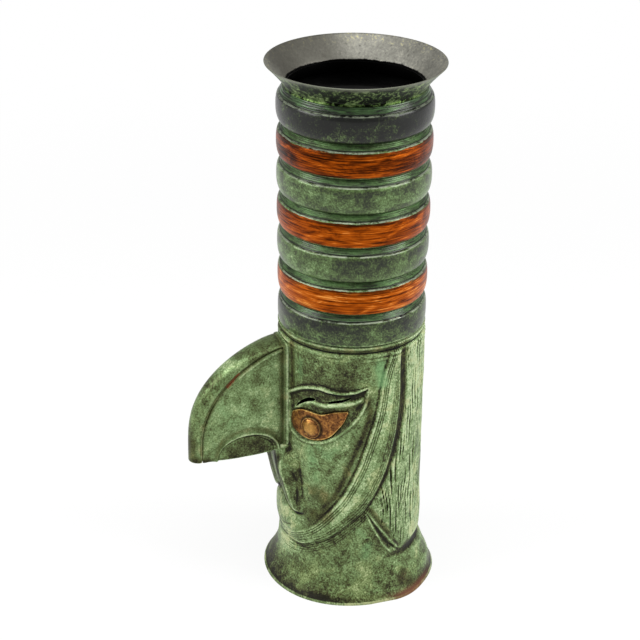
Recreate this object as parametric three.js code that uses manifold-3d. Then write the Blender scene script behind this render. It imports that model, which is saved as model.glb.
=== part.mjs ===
// Beaked head vase of raised and chased copper sheet, in millimetres.
// It stands on z = 0 with its axis on +Z, and the beak points along -Y.
// From the foot up: base plate, head tube with the face, seven hoops, flared lip.
import * as THREE from 'three';
import { mergeVertices } from 'three/addons/utils/BufferGeometryUtils.js';
import Module from 'manifold-3d';

const wasm = await Module();
wasm.setup();

// Sheet, fits, the depth at which a raised patch runs out, and facets
const sheetWall = 1.0;
const seamGap = 0.3;
const edgeSink = 0.35;
const roundSteps = 36;

// Head tube, its trumpet foot, its collar and the base plate
const bodyRadius = 40.5;
const headHeight = 127.7;
const footHeight = 27;
const footSpread = 8.5;
const footSteps = 6;
const footCurve = 2.2;
const collarHeight = 4.0;
const collarProud = 0.5;
const baseThickness = 1.2;

// Stack of half round hoops that makes the neck
const hoopCount = 7;
const hoopPitch = 19.2;
const hoopProud = 0.8;
const notchInset = 2.0;
const shoulderHeight = 4.3;
const creaseDepth = 0.5;
const creaseHalf = 0.5;
const hoopFullness = 2.2;
const hoopTaper = 0.5;

// Flared lip, with a skirt that slides into the top hoop
const lipWall = 0.8;
const lipRise = 12.4;
const lipSpread = 11.3;
const lipSkirt = 6;
const lipSteps = 3;
const lipCurve = 1.15;

// Beak of bent plates on a flange that follows the tube
const beakReach = 52.3;
const beakTopDrop = 2.7;
const beakHeight = 61.3;
const beakTipDrop = 6.7;
const beakRootLift = 3;
const beakSoleCurve = 3;
const beakRootHalf = 9.5;
const beakTipHalf = 5;
const crestBandRoot = 2.2;
const crestBandTip = 6.2;
const crestRound = [1.455, 2.78];
const crestSeamRound = [1.33, 2.29];
const flangeDepth = 1.8;
const flangeLip = 0.9;
const flangeClear = 0.5;
const crestBevel = 0.7;
const beakPillow = 0.9;
const nostrilCentre = 20.3;
const nostrilHalf = 17.8;
const nostrilHeight = 14.2;
const nostrilRim = 1.8;
const nostrilRimProud = 1.3;
const nostrilSink = 0.5;

// Face contour: two rounded outlines on the unrolled tube, in degrees and drops
const jawInnerSpan = 94;
const jawInnerDrop = 18.5;
const jawInnerDeep = 105;
const jawInnerRound = 1.72;
const jawOuterSpan = 112;
const jawOuterDrop = 26.5;
const jawOuterDeep = 101.5;
const jawOuterRound = 2.1;
const jawTopSpan = 103;
const jawBandProud = 1.3;
const jawBandRelief = [0.7, 1, 0.72, 1, 0.85];

// Eye: socket, eyelid, pierced slits, brass plate and brass pupil
const eyeStart = 18.2;
const eyeSpan = 51.3;
const eyeDrop = 47;
const eyeHeight = 17;
const socketDepth = 2.2;
const socketEdgeDepth = 0.5;
const eyePlateWall = 0.9;
const seatMargin = 0.6;
const lidProud = 1.7;
const browProud = 1.2;
const browFold = 3.8;
const slitHeight = 1.6;
const pupilRadius = 5.6;
const pupilRise = 2.6;
const pupilRing = 0.6;

// Muzzle below the beak, its frown of a mouth with a hole, and the chin
const muzzleSpan = 26;
const muzzleTopProud = 8;
const muzzleLipProud = 1.8;
const muzzleTrough = 4;
const lipRidgeShare = 0.84;
const mouthDrop = 95;
const mouthFrown = 11;
const mouthHoleHeight = 6.5;
const mouthHoleHalf = 2;
const foldProud = 1.1;
const chinSpan = 25;
const chinDrop = 108.5;
const chinHalf = 11;
const chinProud = 1.9;

// Hair mass round the back of the head
const hairProud = 0.5;
const hairGroove = 0.4;
const hairLocks = 24;
const hairTop = 2;
const hairGap = 1.5;
const hairPointSpan = 84;
const hairPointDrop = 96.5;
const hairFootSpan = 110;
const hairFootDrop = 123.5;

// Lines round the eye: [share of the eye's span, share of its height], from its inner corner
const eyeUpper = [[0, 0], [0.05, 0.29], [0.19, 0.52], [0.5, 0.53], [0.78, 0.63], [1, 0.75]];
const eyeLower = [[0, -0.15], [0.07, -0.33], [0.35, -0.48], [0.58, -0.39], [0.8, -0.02], [1, 0.69]];
const lidLower = [[0.02, 0.38], [0.17, 0.61], [0.48, 0.62], [0.76, 0.73], [1.01, 0.85], [1.24, 1.07]];
const lidUpper = [[0.02, 0.52], [0.17, 0.79], [0.48, 0.92], [0.76, 0.93], [1.01, 1.02], [1.24, 1.2]];
const browLine = [[-0.02, 0.98], [0.27, 1.24], [0.52, 1.36], [0.81, 1.35], [1.13, 1.46], [1.42, 1.69]];
const socketLine = [[-0.02, -0.38], [0.19, -0.59], [0.44, -0.61], [0.76, -0.38], [1.05, 0.1], [1.3, 1]];
const slitInner = [[0.07, 0.64], [0.25, 0.87], [0.44, 0.96]];
const slitOuter = [[0.67, 0.96], [0.85, 1], [1.05, 1.1]];
const pupilPlace = [0.405, 0.01];

// Cheek fold beside the muzzle: [degrees from the middle, drop below the collar]
const foldInner = [[21, 76], [24, 81], [26.5, 88], [28, 96], [27, 103]];
const foldOuter = [[25, 74.5], [28.5, 81], [31, 90], [31.5, 98.5], [29.5, 105]];

// Levels and radii that follow from the values above
const faceTop = footHeight + headHeight;
const neckFoot = faceTop + collarHeight;
const neckTop = neckFoot + hoopCount * hoopPitch;
const notchRadius = bodyRadius - notchInset;
const throatOuter = notchRadius - sheetWall - seamGap;
const throatRadius = throatOuter - lipWall;
const beakRoot = bodyRadius + flangeDepth;
const beakCentreZ = faceTop - beakTopDrop - beakHeight;
const beakTipZ = beakCentreZ - beakTipDrop;
const beakRootZ = beakTipZ + beakRootLift;
const degree = Math.PI / 180;
const flangeSpan = Math.asin((beakRootHalf + flangeLip + seamGap) / bodyRadius) / degree;
const muzzleTop = beakRootZ - flangeLip - seamGap;
const wallBack = -sheetWall / 2;

// Finishes, by eye
const patina = { color: 0x5c7150, roughness: 0.6, metalness: 0.55 };
const darkPatina = { color: 0x3d4a39, roughness: 0.55, metalness: 0.6 };
const warmCopper = { color: 0xb0501c, roughness: 0.4, metalness: 0.85 };
const eyeBrass = { color: 0x8a6430, roughness: 0.42, metalness: 0.9 };
const greyThroat = { color: 0x5a5a52, roughness: 0.65, metalness: 0.6 };

const lerp = THREE.MathUtils.lerp;

// A point on the tube: degrees from the face middle towards +X, drop, radial offset.
function onTube([azimuth, drop], offset) {
  const radius = bodyRadius + offset;
  const angle = azimuth * degree;
  return new THREE.Vector3(radius * Math.sin(angle), -radius * Math.cos(angle), faceTop - drop);
}

// A point of the beak: reach from the flange face, height, sideways offset.
function onBeak(reach, z, x) {
  return new THREE.Vector3(x, -(beakRoot + reach), z);
}

// Rounded quarter outline: [across, along] for an angle from 0 to 90 degrees.
function roundedQuarter(angle, exponent) {
  const across = Math.sin(angle) ** (2 / exponent);
  const along = Math.cos(angle) ** (2 / exponent);
  return [across, along];
}

// Smooth line through a few chosen points, read by a share of its length.
function smoothLine(points) {
  const curve = new THREE.SplineCurve(points.map(([a, d]) => new THREE.Vector2(a, d)));
  return (share) => curve.getPoint(share).toArray();
}

// Place on a patch between a lower and an upper line.
function between(lower, upper) {
  return (u, t) => {
    const low = lower(u);
    const high = upper(u);
    return [lerp(low[0], high[0], t), lerp(low[1], high[1], t)];
  };
}

function signedVolume(points, triangles) {
  let sum = 0;
  for (let i = 0; i < triangles.length; i += 3) {
    const [a, b, c] = [0, 1, 2].map((k) => points[triangles[i + k]]);
    sum += a.dot(new THREE.Vector3().crossVectors(b, c));
  }
  return sum / 6;
}

// Closed sheet between two faces, each given by a function of u and t from 0 to 1.
function slab(columns, rows, face, back) {
  const points = [];
  const triangles = [];
  const shares = { u: (i) => i / columns, t: (j) => j / rows };
  for (const surface of [face, back]) {
    for (let i = 0; i <= columns; i += 1) {
      for (let j = 0; j <= rows; j += 1) {
        points.push(surface(shares.u(i), shares.t(j)));
      }
    }
  }
  const layer = (columns + 1) * (rows + 1);
  const at = (i, j, side) => side * layer + i * (rows + 1) + j;
  const quad = (a, b, c, d) => triangles.push(a, b, c, a, c, d);
  for (let i = 0; i < columns; i += 1) {
    for (let j = 0; j < rows; j += 1) {
      quad(at(i, j, 0), at(i + 1, j, 0), at(i + 1, j + 1, 0), at(i, j + 1, 0));
      quad(at(i, j, 1), at(i, j + 1, 1), at(i + 1, j + 1, 1), at(i + 1, j, 1));
    }
  }
  for (let i = 0; i < columns; i += 1) {
    quad(at(i, 0, 1), at(i + 1, 0, 1), at(i + 1, 0, 0), at(i, 0, 0));
    quad(at(i, rows, 0), at(i + 1, rows, 0), at(i + 1, rows, 1), at(i, rows, 1));
  }
  for (let j = 0; j < rows; j += 1) {
    quad(at(0, j, 0), at(0, j + 1, 0), at(0, j + 1, 1), at(0, j, 1));
    quad(at(columns, j, 1), at(columns, j + 1, 1), at(columns, j + 1, 0), at(columns, j, 0));
  }
  if (signedVolume(points, triangles) < 0) {
    triangles.reverse();
  }
  const geometry = new THREE.BufferGeometry().setFromPoints(points);
  geometry.setIndex(triangles);
  return geometry;
}

// Patch laid on the tube, from a back offset to a front offset.
function tubePatch(columns, rows, place, back, front) {
  const face = (u, t) => onTube(place(u, t), front(u, t));
  const rear = (u, t) => onTube(place(u, t), back(u, t));
  return slab(columns, rows, face, rear);
}

function weld(geometry) {
  const bare = geometry.clone();
  bare.deleteAttribute('normal');
  bare.deleteAttribute('uv');
  const welded = mergeVertices(bare);
  const kept = [];
  const index = welded.index.array;
  for (let i = 0; i < index.length; i += 3) {
    const [a, b, c] = index.slice(i, i + 3);
    if (a !== b && b !== c && c !== a) {
      kept.push(a, b, c);
    }
  }
  welded.setIndex(kept);
  return welded;
}

function toSolid(geometry) {
  const welded = weld(geometry);
  return new wasm.Manifold(new wasm.Mesh({
    numProp: 3,
    vertProperties: new Float32Array(welded.attributes.position.array),
    triVerts: new Uint32Array(welded.index.array),
  }));
}

function toGeometry(solid) {
  const mesh = solid.getMesh();
  const geometry = new THREE.BufferGeometry();
  geometry.setAttribute('position', new THREE.BufferAttribute(mesh.vertProperties, mesh.numProp));
  geometry.setIndex(new THREE.BufferAttribute(mesh.triVerts, 1));
  return geometry;
}

// Ring or plate of revolution about Z, from [radius, z] points.
function turned(profile) {
  const points = profile.map(([radius, z]) => new THREE.Vector2(radius, z));
  const geometry = new THREE.LatheGeometry(points, roundSteps);
  geometry.rotateX(Math.PI / 2);
  return weld(geometry);
}

function closedLoop(points) {
  return [...points, points[0]];
}

function footRadius(z) {
  const fall = Math.max(0, 1 - z / footHeight);
  return bodyRadius + footSpread * fall ** footCurve;
}

// Sheet thickness measured level, which grows where the foot leans outward.
function levelWall(z) {
  const fall = Math.max(0, 1 - z / footHeight);
  const lean = footSpread * footCurve * fall ** (footCurve - 1) / footHeight;
  return sheetWall * Math.hypot(1, lean);
}

// Trumpet foot, plain tube and collar, with a shelf turned in for the neck.
function headTube() {
  const outer = [];
  const inner = [];
  for (let i = 0; i <= footSteps; i += 1) {
    const z = footHeight * i / footSteps;
    outer.push([footRadius(z), z]);
    inner.push([footRadius(z) - levelWall(z), z]);
  }
  const collar = bodyRadius + collarProud;
  const top = [
    [bodyRadius, faceTop],
    [collar, faceTop],
    [collar, neckFoot],
    [notchRadius - sheetWall, neckFoot],
    [notchRadius - sheetWall, neckFoot - sheetWall],
    [bodyRadius - sheetWall, neckFoot - sheetWall],
  ];
  return turned(closedLoop([...outer, ...top, ...inner.reverse()]));
}

// Outline of the face at an angle from the chin (0) to the temple (90 degrees).
function jawLine(span, widestDrop, deep, exponent, angle) {
  const [across, along] = roundedQuarter(Math.abs(angle), exponent);
  return [Math.sign(angle) * span * across, widestDrop + deep * along];
}

// Band that runs from the collar down round the chin and up to the collar again.
function jawBand() {
  const templeShare = 0.84;
  const edge = (share, span, widest, deep, round, topSpan) => {
    const side = 2 * share - 1;
    const reach = Math.min(1, Math.abs(side) / templeShare);
    const low = jawLine(span, widest, deep, round, Math.sign(side) * reach * Math.PI / 2);
    const climb = Math.max(0, (Math.abs(side) - templeShare) / (1 - templeShare));
    return [lerp(low[0], Math.sign(side) * topSpan, climb), lerp(low[1], 0, climb)];
  };
  const outer = (u) => edge(u, jawOuterSpan, jawOuterDrop, jawOuterDeep, jawOuterRound, jawOuterSpan);
  const inner = (u) => edge(u, jawInnerSpan, jawInnerDrop, jawInnerDeep, jawInnerRound, jawTopSpan);
  const rows = jawBandRelief.length - 1;
  const relief = (u, t) => jawBandProud * jawBandRelief[Math.round(t * rows)];
  return tubePatch(36, rows, between(outer, inner), () => wallBack, relief);
}

// Front edge of the hair: down along the jaw band, then back along a wedge to the nape.
function hairFront(drop) {
  if (drop > hairPointDrop) {
    const share = (drop - hairPointDrop) / (hairFootDrop - hairPointDrop);
    return lerp(hairPointSpan, hairFootSpan, share) + hairGap;
  }
  const along = Math.max(0, (drop - jawOuterDrop) / jawOuterDeep);
  return jawOuterSpan * (1 - along ** jawOuterRound) ** (1 / jawOuterRound) + hairGap;
}

// Hair mass with upright locks, from one jaw band round the back to the other.
// A lock that meets the front edge is cut off there, so its points lie on that edge.
function hairMass() {
  const rows = 6;
  const column = (u) => lerp(hairPointSpan, 360 - hairPointSpan, u);
  const reach = (u, t) => {
    const drop = lerp(hairFootDrop, hairTop, t);
    const front = hairFront(drop);
    const free = column(u);
    const azimuth = THREE.MathUtils.clamp(free, front, 360 - front);
    return { azimuth, drop, cut: azimuth !== free };
  };
  const place = (u, t) => {
    const { azimuth, drop } = reach(u, t);
    return [azimuth, drop];
  };
  const relief = (u, t) => {
    const groove = Math.round(u * hairLocks * 2) % 2 === 1 && !reach(u, t).cut;
    return groove ? hairProud - hairGroove : hairProud;
  };
  return tubePatch(hairLocks * 2, rows, place, () => wallBack, relief);
}

function mirrored(points, side) {
  return points.map(([azimuth, drop]) => [azimuth * side, drop]);
}

// Place on the tube of a point given in shares of the eye.
function byEye([across, up]) {
  return [eyeStart + eyeSpan * across, eyeDrop - eyeHeight * up];
}

// Line round the eye on one side, starting clear of the beak flange.
function eyeLine(points, side) {
  const [first, ...rest] = points.map(byEye);
  const start = [Math.max(first[0], flangeSpan + flangeClear), first[1]];
  return smoothLine(mirrored([start, ...rest], side));
}

// Hollow under the brow: backed by sheet, then cut to a dish.
function socketPlace(side) {
  return between(eyeLine(socketLine, side), eyeLine(browLine, side));
}

function socketBack(side) {
  const back = () => -socketDepth - sheetWall;
  return tubePatch(8, 2, socketPlace(side), back, () => wallBack);
}

function socketCut(side) {
  const place = socketPlace(side);
  const floor = (u, t) => (t === 0 ? -socketEdgeDepth : -socketDepth);
  return tubePatch(10, 2, (u, t) => place(u, t ** 2), floor, () => 2 * browProud);
}

// Seat for the brass plate: its own outline, grown by a margin, down to the floor.
function plateSeat(side) {
  const across = seatMargin / bodyRadius / degree / eyeSpan;
  const up = seatMargin / eyeHeight;
  const grow = (points, turn) => points.map(([share, height], i) => {
    const ends = i === 0 ? -1 : i === points.length - 1 ? 1 : 0;
    return [share + ends * across, height + turn * up];
  });
  const place = between(eyeLine(grow(eyeLower, -1), side), eyeLine(grow(eyeUpper, 1), side));
  return tubePatch(10, 1, place, () => -socketDepth, () => 2 * browProud);
}

// Brow: a rounded fold of the forehead over the socket.
function browLedge(side) {
  const brow = eyeLine(browLine, side);
  const forehead = (u) => [brow(u)[0], brow(u)[1] - browFold * (1 - 0.8 * u ** 3)];
  const fold = (u, t) => browProud * (1 - t ** 3) - edgeSink * t;
  return tubePatch(10, 2, between(brow, forehead), () => wallBack, fold);
}

function eyelid(side) {
  const rise = (u, t) => -socketDepth + lidProud * (0.6 + 0.4 * t);
  const place = between(eyeLine(lidLower, side), eyeLine(lidUpper, side));
  return tubePatch(10, 1, place, () => wallBack - socketDepth, rise);
}

// Narrow slit pierced right through between eyelid and brow.
function slit(points, side) {
  const lower = smoothLine(mirrored(points.map(byEye), side));
  const upper = (u) => [lower(u)[0], lower(u)[1] - slitHeight * Math.sin(Math.PI * (0.2 + 0.6 * u))];
  return tubePatch(4, 1, between(lower, upper), () => -2 * socketDepth, () => 2 * browProud);
}

// Muzzle under the beak: two ridges with a trough between, ending at the mouth line.
function muzzle() {
  const place = (u, t) => {
    const across = 2 * u - 1;
    const mouth = mouthDrop + mouthFrown * Math.abs(across) ** 1.3;
    return [muzzleSpan * across * (1 - 0.15 * t), lerp(mouth, faceTop - muzzleTop, t)];
  };
  const swell = (u, t) => {
    const across = Math.abs(2 * u - 1);
    const ridge = lerp(muzzleLipProud, muzzleTopProud, t ** 0.55);
    const ridgeAt = lerp(lipRidgeShare, 0.5, t);
    if (across < ridgeAt) {
      return ridge - muzzleTrough * lerp(0.15, 0.6, t) * (1 - (across / ridgeAt) ** 2);
    }
    const fall = (across - ridgeAt) / (1 - ridgeAt);
    return ridge * (1 - fall) ** 1.2 - edgeSink * fall;
  };
  return tubePatch(12, 5, place, () => wallBack, swell);
}

// Raised fold of the cheek beside the muzzle.
function cheekFold(side) {
  const place = between(smoothLine(mirrored(foldOuter, side)), smoothLine(mirrored(foldInner, side)));
  const swell = (u, t) => foldProud * Math.sin(Math.PI * u) * Math.sin(Math.PI * t) - edgeSink;
  return tubePatch(6, 2, place, () => wallBack, swell);
}

function chin() {
  const place = (u, t) => {
    const angle = Math.PI * u;
    const half = chinHalf * (0.25 + 0.75 * Math.sin(angle));
    return [-chinSpan * Math.cos(angle), chinDrop + half * (1 - 2 * t)];
  };
  const swell = (u, t) => chinProud * Math.sin(Math.PI * u) * Math.sin(Math.PI * t) - edgeSink;
  return tubePatch(8, 4, place, () => wallBack, swell);
}

function mouthHole() {
  const half = mouthHoleHalf / bodyRadius / degree;
  const place = (u, t) => [
    lerp(-half, half, u) * (1 - 0.4 * Math.abs(2 * t - 1)),
    mouthDrop + mouthHoleHeight * (0.5 - t),
  ];
  return tubePatch(2, 2, place, () => -3 * sheetWall, () => 2 * muzzleTopProud);
}

function headShell() {
  const raised = [jawBand(), hairMass(), muzzle(), chin()];
  const sides = [1, -1];
  sides.forEach((side) => raised.push(browLedge(side), socketBack(side), cheekFold(side)));
  const cuts = [...sides.map(socketCut), ...sides.map(plateSeat)];
  const lids = sides.map(eyelid);
  const holes = [mouthHole()];
  sides.forEach((side) => holes.push(slit(slitInner, side), slit(slitOuter, side)));
  let head = toSolid(headTube());
  raised.forEach((patch) => { head = head.add(toSolid(patch)); });
  cuts.forEach((patch) => { head = head.subtract(toSolid(patch)); });
  lids.forEach((patch) => { head = head.add(toSolid(patch)); });
  holes.forEach((patch) => { head = head.subtract(toSolid(patch)); });
  return toGeometry(head);
}

// Brass plate that lies on the socket floor, shaped like a pointed leaf.
function eyePlate(side) {
  const rest = -socketDepth + seamGap;
  const place = between(eyeLine(eyeLower, side), eyeLine(eyeUpper, side));
  return tubePatch(10, 2, place, () => rest, () => rest + eyePlateWall);
}

// Low brass dome on the plate.
function pupil() {
  const rings = 3;
  const profile = [[0, 0], [pupilRadius, 0], [pupilRadius, pupilRing]];
  for (let i = 1; i <= rings; i += 1) {
    const angle = Math.PI / 2 * i / rings;
    const rise = pupilRing + (pupilRise - pupilRing) * Math.sin(angle);
    profile.push([i === rings ? 0 : pupilRadius * Math.cos(angle), rise]);
  }
  const points = profile.map(([radius, z]) => new THREE.Vector2(radius, z));
  const dome = new THREE.LatheGeometry(points, 20);
  dome.rotateX(Math.PI / 2);
  return weld(dome);
}

// Half width of the beak at a reach from the flange.
function beakHalf(reach) {
  const share = THREE.MathUtils.clamp(reach / beakReach, 0, 1);
  return beakRootHalf - (beakRootHalf - beakTipHalf) * share ** 2;
}

function beakLowerZ(reach) {
  const share = THREE.MathUtils.clamp(reach / beakReach, 0, 1);
  return beakTipZ + beakRootLift * (1 - share) ** beakSoleCurve;
}

// A line of the beak for an angle from 0 to 90 degrees: it leaves the root on a slope
// and stands full at the tip.
function beakArc(angle, reach, height, [rootRound, tipRound]) {
  const along = Math.sin(angle);
  return [reach * along, beakCentreZ + height * (1 - along ** rootRound) ** (1 / tipRound)];
}

// Ridge and seam of the crest for a share of its length, root to tip.
function crestLines(share) {
  const bend = 0.86;
  const angle = Math.PI / 2 * Math.min(1, share / bend);
  const fall = Math.max(0, (share - bend) / (1 - bend)) * beakTipDrop;
  const ridge = beakArc(angle, beakReach, beakHeight, crestRound);
  const seam = beakArc(angle, beakReach - crestBandTip, beakHeight - crestBandRoot, crestSeamRound);
  return { ridge: [ridge[0], ridge[1] - fall], seam: [seam[0], seam[1] - fall] };
}

// Crowned crest strip, bent along the top of the beak and down the tip.
function beakCrest() {
  const skin = (inset) => (u, t) => {
    const { ridge, seam } = crestLines(u);
    const turn = Math.PI * (t - 0.5);
    const depth = Math.hypot(ridge[0] - seam[0], ridge[1] - seam[1]);
    const lift = Math.cos(turn) * (depth - inset) / depth;
    const bevel = t === 0 || t === 1 ? crestBevel : 0;
    const half = beakHalf(seam[0]) - Math.max(inset, bevel);
    return onBeak(lerp(seam[0], ridge[0], lift), lerp(seam[1], ridge[1], lift), half * Math.sin(turn));
  };
  return slab(16, 6, skin(0), skin(sheetWall));
}

// Nostril outline on a side plate: [reach, height] for an angle and a size.
function nostrilPoint(angle, size) {
  const reach = nostrilCentre + nostrilHalf * size * Math.cos(angle);
  return [reach, beakLowerZ(reach) + seamGap + nostrilHeight * size * Math.sin(angle)];
}

// Patch on the outside of a side plate, over a stretch of the nostril outline.
function nostrilPatch(side, [inner, outer], rows, back, front) {
  const point = (offset) => (u, t) => {
    const [reach, z] = nostrilPoint(Math.PI * u, lerp(inner, outer, t));
    return onBeak(reach, z, side * (beakHalf(reach) + offset(t)));
  };
  return toSolid(slab(12, rows, point(front), point(back)));
}

// Side plate under the crest seam, pillowed, with a rimmed and sunk nostril.
function beakSide(side) {
  const length = beakReach - crestBandTip - seamGap;
  const height = beakHeight - crestBandRoot;
  const grid = (u, t) => {
    const [reach, top] = beakArc(Math.PI / 2 * u, length, height, crestSeamRound);
    return [reach, lerp(beakLowerZ(reach), top - seamGap, t)];
  };
  const skin = (inset) => (u, t) => {
    const [reach, z] = grid(u, t);
    const raised = Math.max(0, Math.sin(Math.PI * u) * Math.sin(Math.PI * (1.5 * t - 0.5)));
    const sink = t === 1 ? Math.max(inset, crestBevel) : inset;
    return onBeak(reach, z, side * (beakHalf(reach) + beakPillow * raised - sink));
  };
  const plate = toSolid(slab(14, 6, skin(0), skin(sheetWall)));
  const rimShare = 1 - nostrilRim / nostrilHeight;
  const wallLeft = sheetWall - nostrilSink;
  const rimBack = () => -nostrilSink - wallLeft / 2;
  const rimFront = (t) => nostrilRimProud * Math.sin(Math.PI * t) - edgeSink;
  const rim = nostrilPatch(side, [rimShare, 1], 2, rimBack, rimFront);
  const floorShare = (1 + rimShare) / 2;
  const sunk = nostrilPatch(side, [0, floorShare], 1, () => -nostrilSink, () => nostrilRimProud);
  return toGeometry(plate.subtract(sunk).add(rim));
}

// Plate that closes the beak below, inside the side plates and the tip.
function beakSole() {
  const seamReach = beakReach - crestBandTip;
  const noseReach = crestBandTip - sheetWall - seamGap;
  const length = seamReach + 0.95 * noseReach;
  const skin = (lift) => (u, t) => {
    const reach = length * u;
    const past = Math.max(0, reach - seamReach) / noseReach;
    const half = (beakHalf(Math.min(reach, seamReach)) - sheetWall - seamGap) * Math.sqrt(1 - past ** 2);
    return onBeak(reach, beakLowerZ(reach) + lift, lerp(-half, half, t));
  };
  return slab(14, 1, skin(seamGap), skin(seamGap + sheetWall));
}

// Flange strip round the root of the beak, its back following the tube.
function beakFlange() {
  const seamZ = beakCentreZ + beakHeight - crestBandRoot;
  const legShare = 0.3;
  const outline = (share, grow) => {
    const half = beakRootHalf + grow;
    const foot = beakRootZ - flangeLip;
    if (share < legShare) {
      return [-half, lerp(foot, seamZ, share / legShare)];
    }
    if (share > 1 - legShare) {
      return [half, lerp(foot, seamZ, (1 - share) / legShare)];
    }
    const turn = Math.PI * ((share - legShare) / (1 - 2 * legShare) - 0.5);
    return [half * Math.sin(turn), seamZ + (crestBandRoot + grow) * Math.cos(turn)];
  };
  const place = (u, t) => outline(u, lerp(-sheetWall, flangeLip, t));
  const face = (u, t) => {
    const [x, z] = place(u, t);
    return onBeak(0, z, x);
  };
  const back = (u, t) => {
    const [x, z] = place(u, t);
    return new THREE.Vector3(x, -Math.sqrt((bodyRadius + seamGap) ** 2 - x ** 2), z);
  };
  return slab(20, 1, face, back);
}

// Widest radius of a hoop: the neck narrows a little from hoop 1 down to the last.
function hoopRadius(number) {
  return bodyRadius + hoopProud + hoopTaper * (1 - 2 * (number - 1) / (hoopCount - 1));
}

// Outer radius of a hoop at a height above its lower edge.
function hoopOuter(number, z) {
  const share = Math.abs(2 * z / hoopPitch - 1);
  const full = (1 - share ** hoopFullness) ** (1 / hoopFullness);
  return notchRadius + (hoopRadius(number) - notchRadius) * full;
}

// Half round hoop of sheet with a creased shoulder, open to the inside.
function hoop(number) {
  const crease = hoopPitch - shoulderHeight;
  const outerAt = (z, sink = 0) => [hoopOuter(number, z) - sink, z];
  const innerAt = (share) => [hoopOuter(number, hoopPitch * share) - sheetWall, hoopPitch * share];
  return turned(closedLoop([
    outerAt(0),
    outerAt(hoopPitch * 0.08),
    outerAt(hoopPitch * 0.3),
    outerAt(crease - creaseHalf),
    outerAt(crease, creaseDepth),
    outerAt(crease + creaseHalf),
    outerAt(hoopPitch * 0.94),
    outerAt(hoopPitch),
    innerAt(1),
    innerAt(0.85),
    innerAt(0.15),
    innerAt(0),
  ]));
}

// Flared lip: a skirt inside the top hoop, opening to a thin rim.
function lipFlare() {
  const inner = [[throatRadius, neckTop - lipSkirt]];
  const outer = [[throatOuter, neckTop - lipSkirt]];
  for (let i = 0; i <= lipSteps; i += 1) {
    const share = i / lipSteps;
    const z = neckTop + lipRise * share;
    const spread = lipSpread * share ** lipCurve;
    inner.push([throatRadius + (spread - lipWall * share), z]);
    outer.push([throatOuter + (spread - lipWall * share), z]);
  }
  return turned(closedLoop([...outer, ...inner.reverse()]));
}

// Flat plate soldered inside the foot, flush with its edge.
function basePlate() {
  const rimAt = (z) => footRadius(z) - levelWall(z) - seamGap;
  return turned([
    [0, 0],
    [rimAt(0), 0],
    [rimAt(baseThickness), baseThickness],
    [0, baseThickness],
  ]);
}

const vase = new THREE.Group();

function addPiece(name, geometry, finish) {
  const mesh = new THREE.Mesh(geometry, new THREE.MeshStandardMaterial(finish));
  mesh.name = name;
  vase.add(mesh);
  return mesh;
}

addPiece('base_plate', basePlate(), patina);
addPiece('head_shell', headShell(), patina);
for (let i = 0; i < hoopCount; i += 1) {
  const fromTop = hoopCount - i;
  const finish = fromTop % 2 === 0 ? warmCopper : darkPatina;
  addPiece(`neck_hoop_${fromTop}`, hoop(fromTop), finish).position.z = neckFoot + hoopPitch * i;
}
addPiece('lip_flare', lipFlare(), greyThroat);

addPiece('beak_flange', beakFlange(), patina);
addPiece('beak_crest', beakCrest(), patina);
addPiece('beak_sole', beakSole(), patina);
for (const [name, side] of [['right', 1], ['left', -1]]) {
  addPiece(`beak_side_${name}`, beakSide(side), patina);
  addPiece(`eye_plate_${name}`, eyePlate(side), eyeBrass);
  const dome = addPiece(`eye_pupil_${name}`, pupil(), eyeBrass);
  const [pupilAzimuth, pupilDrop] = byEye(pupilPlace);
  const seat = onTube([side * pupilAzimuth, pupilDrop], 2 * seamGap + eyePlateWall - socketDepth);
  const outward = new THREE.Vector3(seat.x, seat.y, 0).normalize();
  dome.position.copy(seat);
  dome.quaternion.setFromUnitVectors(new THREE.Vector3(0, 0, 1), outward);
}

export default vase;
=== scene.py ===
# %% [markdown]
# # A repousse vase
# The real vase is thin copper sheet. A smith raised a tube over stakes, drove the face out from
# the inside, chased the lines from the outside, and soldered a neck of seven hoops and a flared
# lip on top. The beak is bent from separate plates. At the end the copper was turned green, and
# three of the hoops were rubbed bright again.
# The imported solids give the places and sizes. This script lays a finer skin over them.

# %% The frame and the tools
import math

import bpy
import numpy as np
from mathutils import Matrix, Vector


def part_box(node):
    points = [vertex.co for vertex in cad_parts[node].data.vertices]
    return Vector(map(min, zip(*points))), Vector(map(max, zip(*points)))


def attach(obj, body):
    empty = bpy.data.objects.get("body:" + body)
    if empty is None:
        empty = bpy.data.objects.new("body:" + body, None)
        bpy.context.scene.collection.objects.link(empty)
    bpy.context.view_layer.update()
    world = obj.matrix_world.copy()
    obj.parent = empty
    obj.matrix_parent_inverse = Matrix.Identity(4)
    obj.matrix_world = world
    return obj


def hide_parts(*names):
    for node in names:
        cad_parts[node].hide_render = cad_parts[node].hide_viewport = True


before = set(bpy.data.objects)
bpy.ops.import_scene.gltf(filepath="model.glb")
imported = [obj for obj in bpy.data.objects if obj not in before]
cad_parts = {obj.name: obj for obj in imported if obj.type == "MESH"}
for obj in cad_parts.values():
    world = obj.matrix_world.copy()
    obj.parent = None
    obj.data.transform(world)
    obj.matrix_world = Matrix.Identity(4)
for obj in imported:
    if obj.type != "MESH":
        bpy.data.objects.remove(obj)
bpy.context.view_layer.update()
mm = 0.001

# %% [markdown]
# ## Sizes
# Sizes are in millimetres, because a smith thinks in them. What the solids already say is read
# from their boxes. The rest are the few sizes that the boxes don't show.

# %% Sizes
def corner(node):
    """Lowest and highest corner of a solid, in millimetres."""
    return [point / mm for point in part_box(node)]


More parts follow.
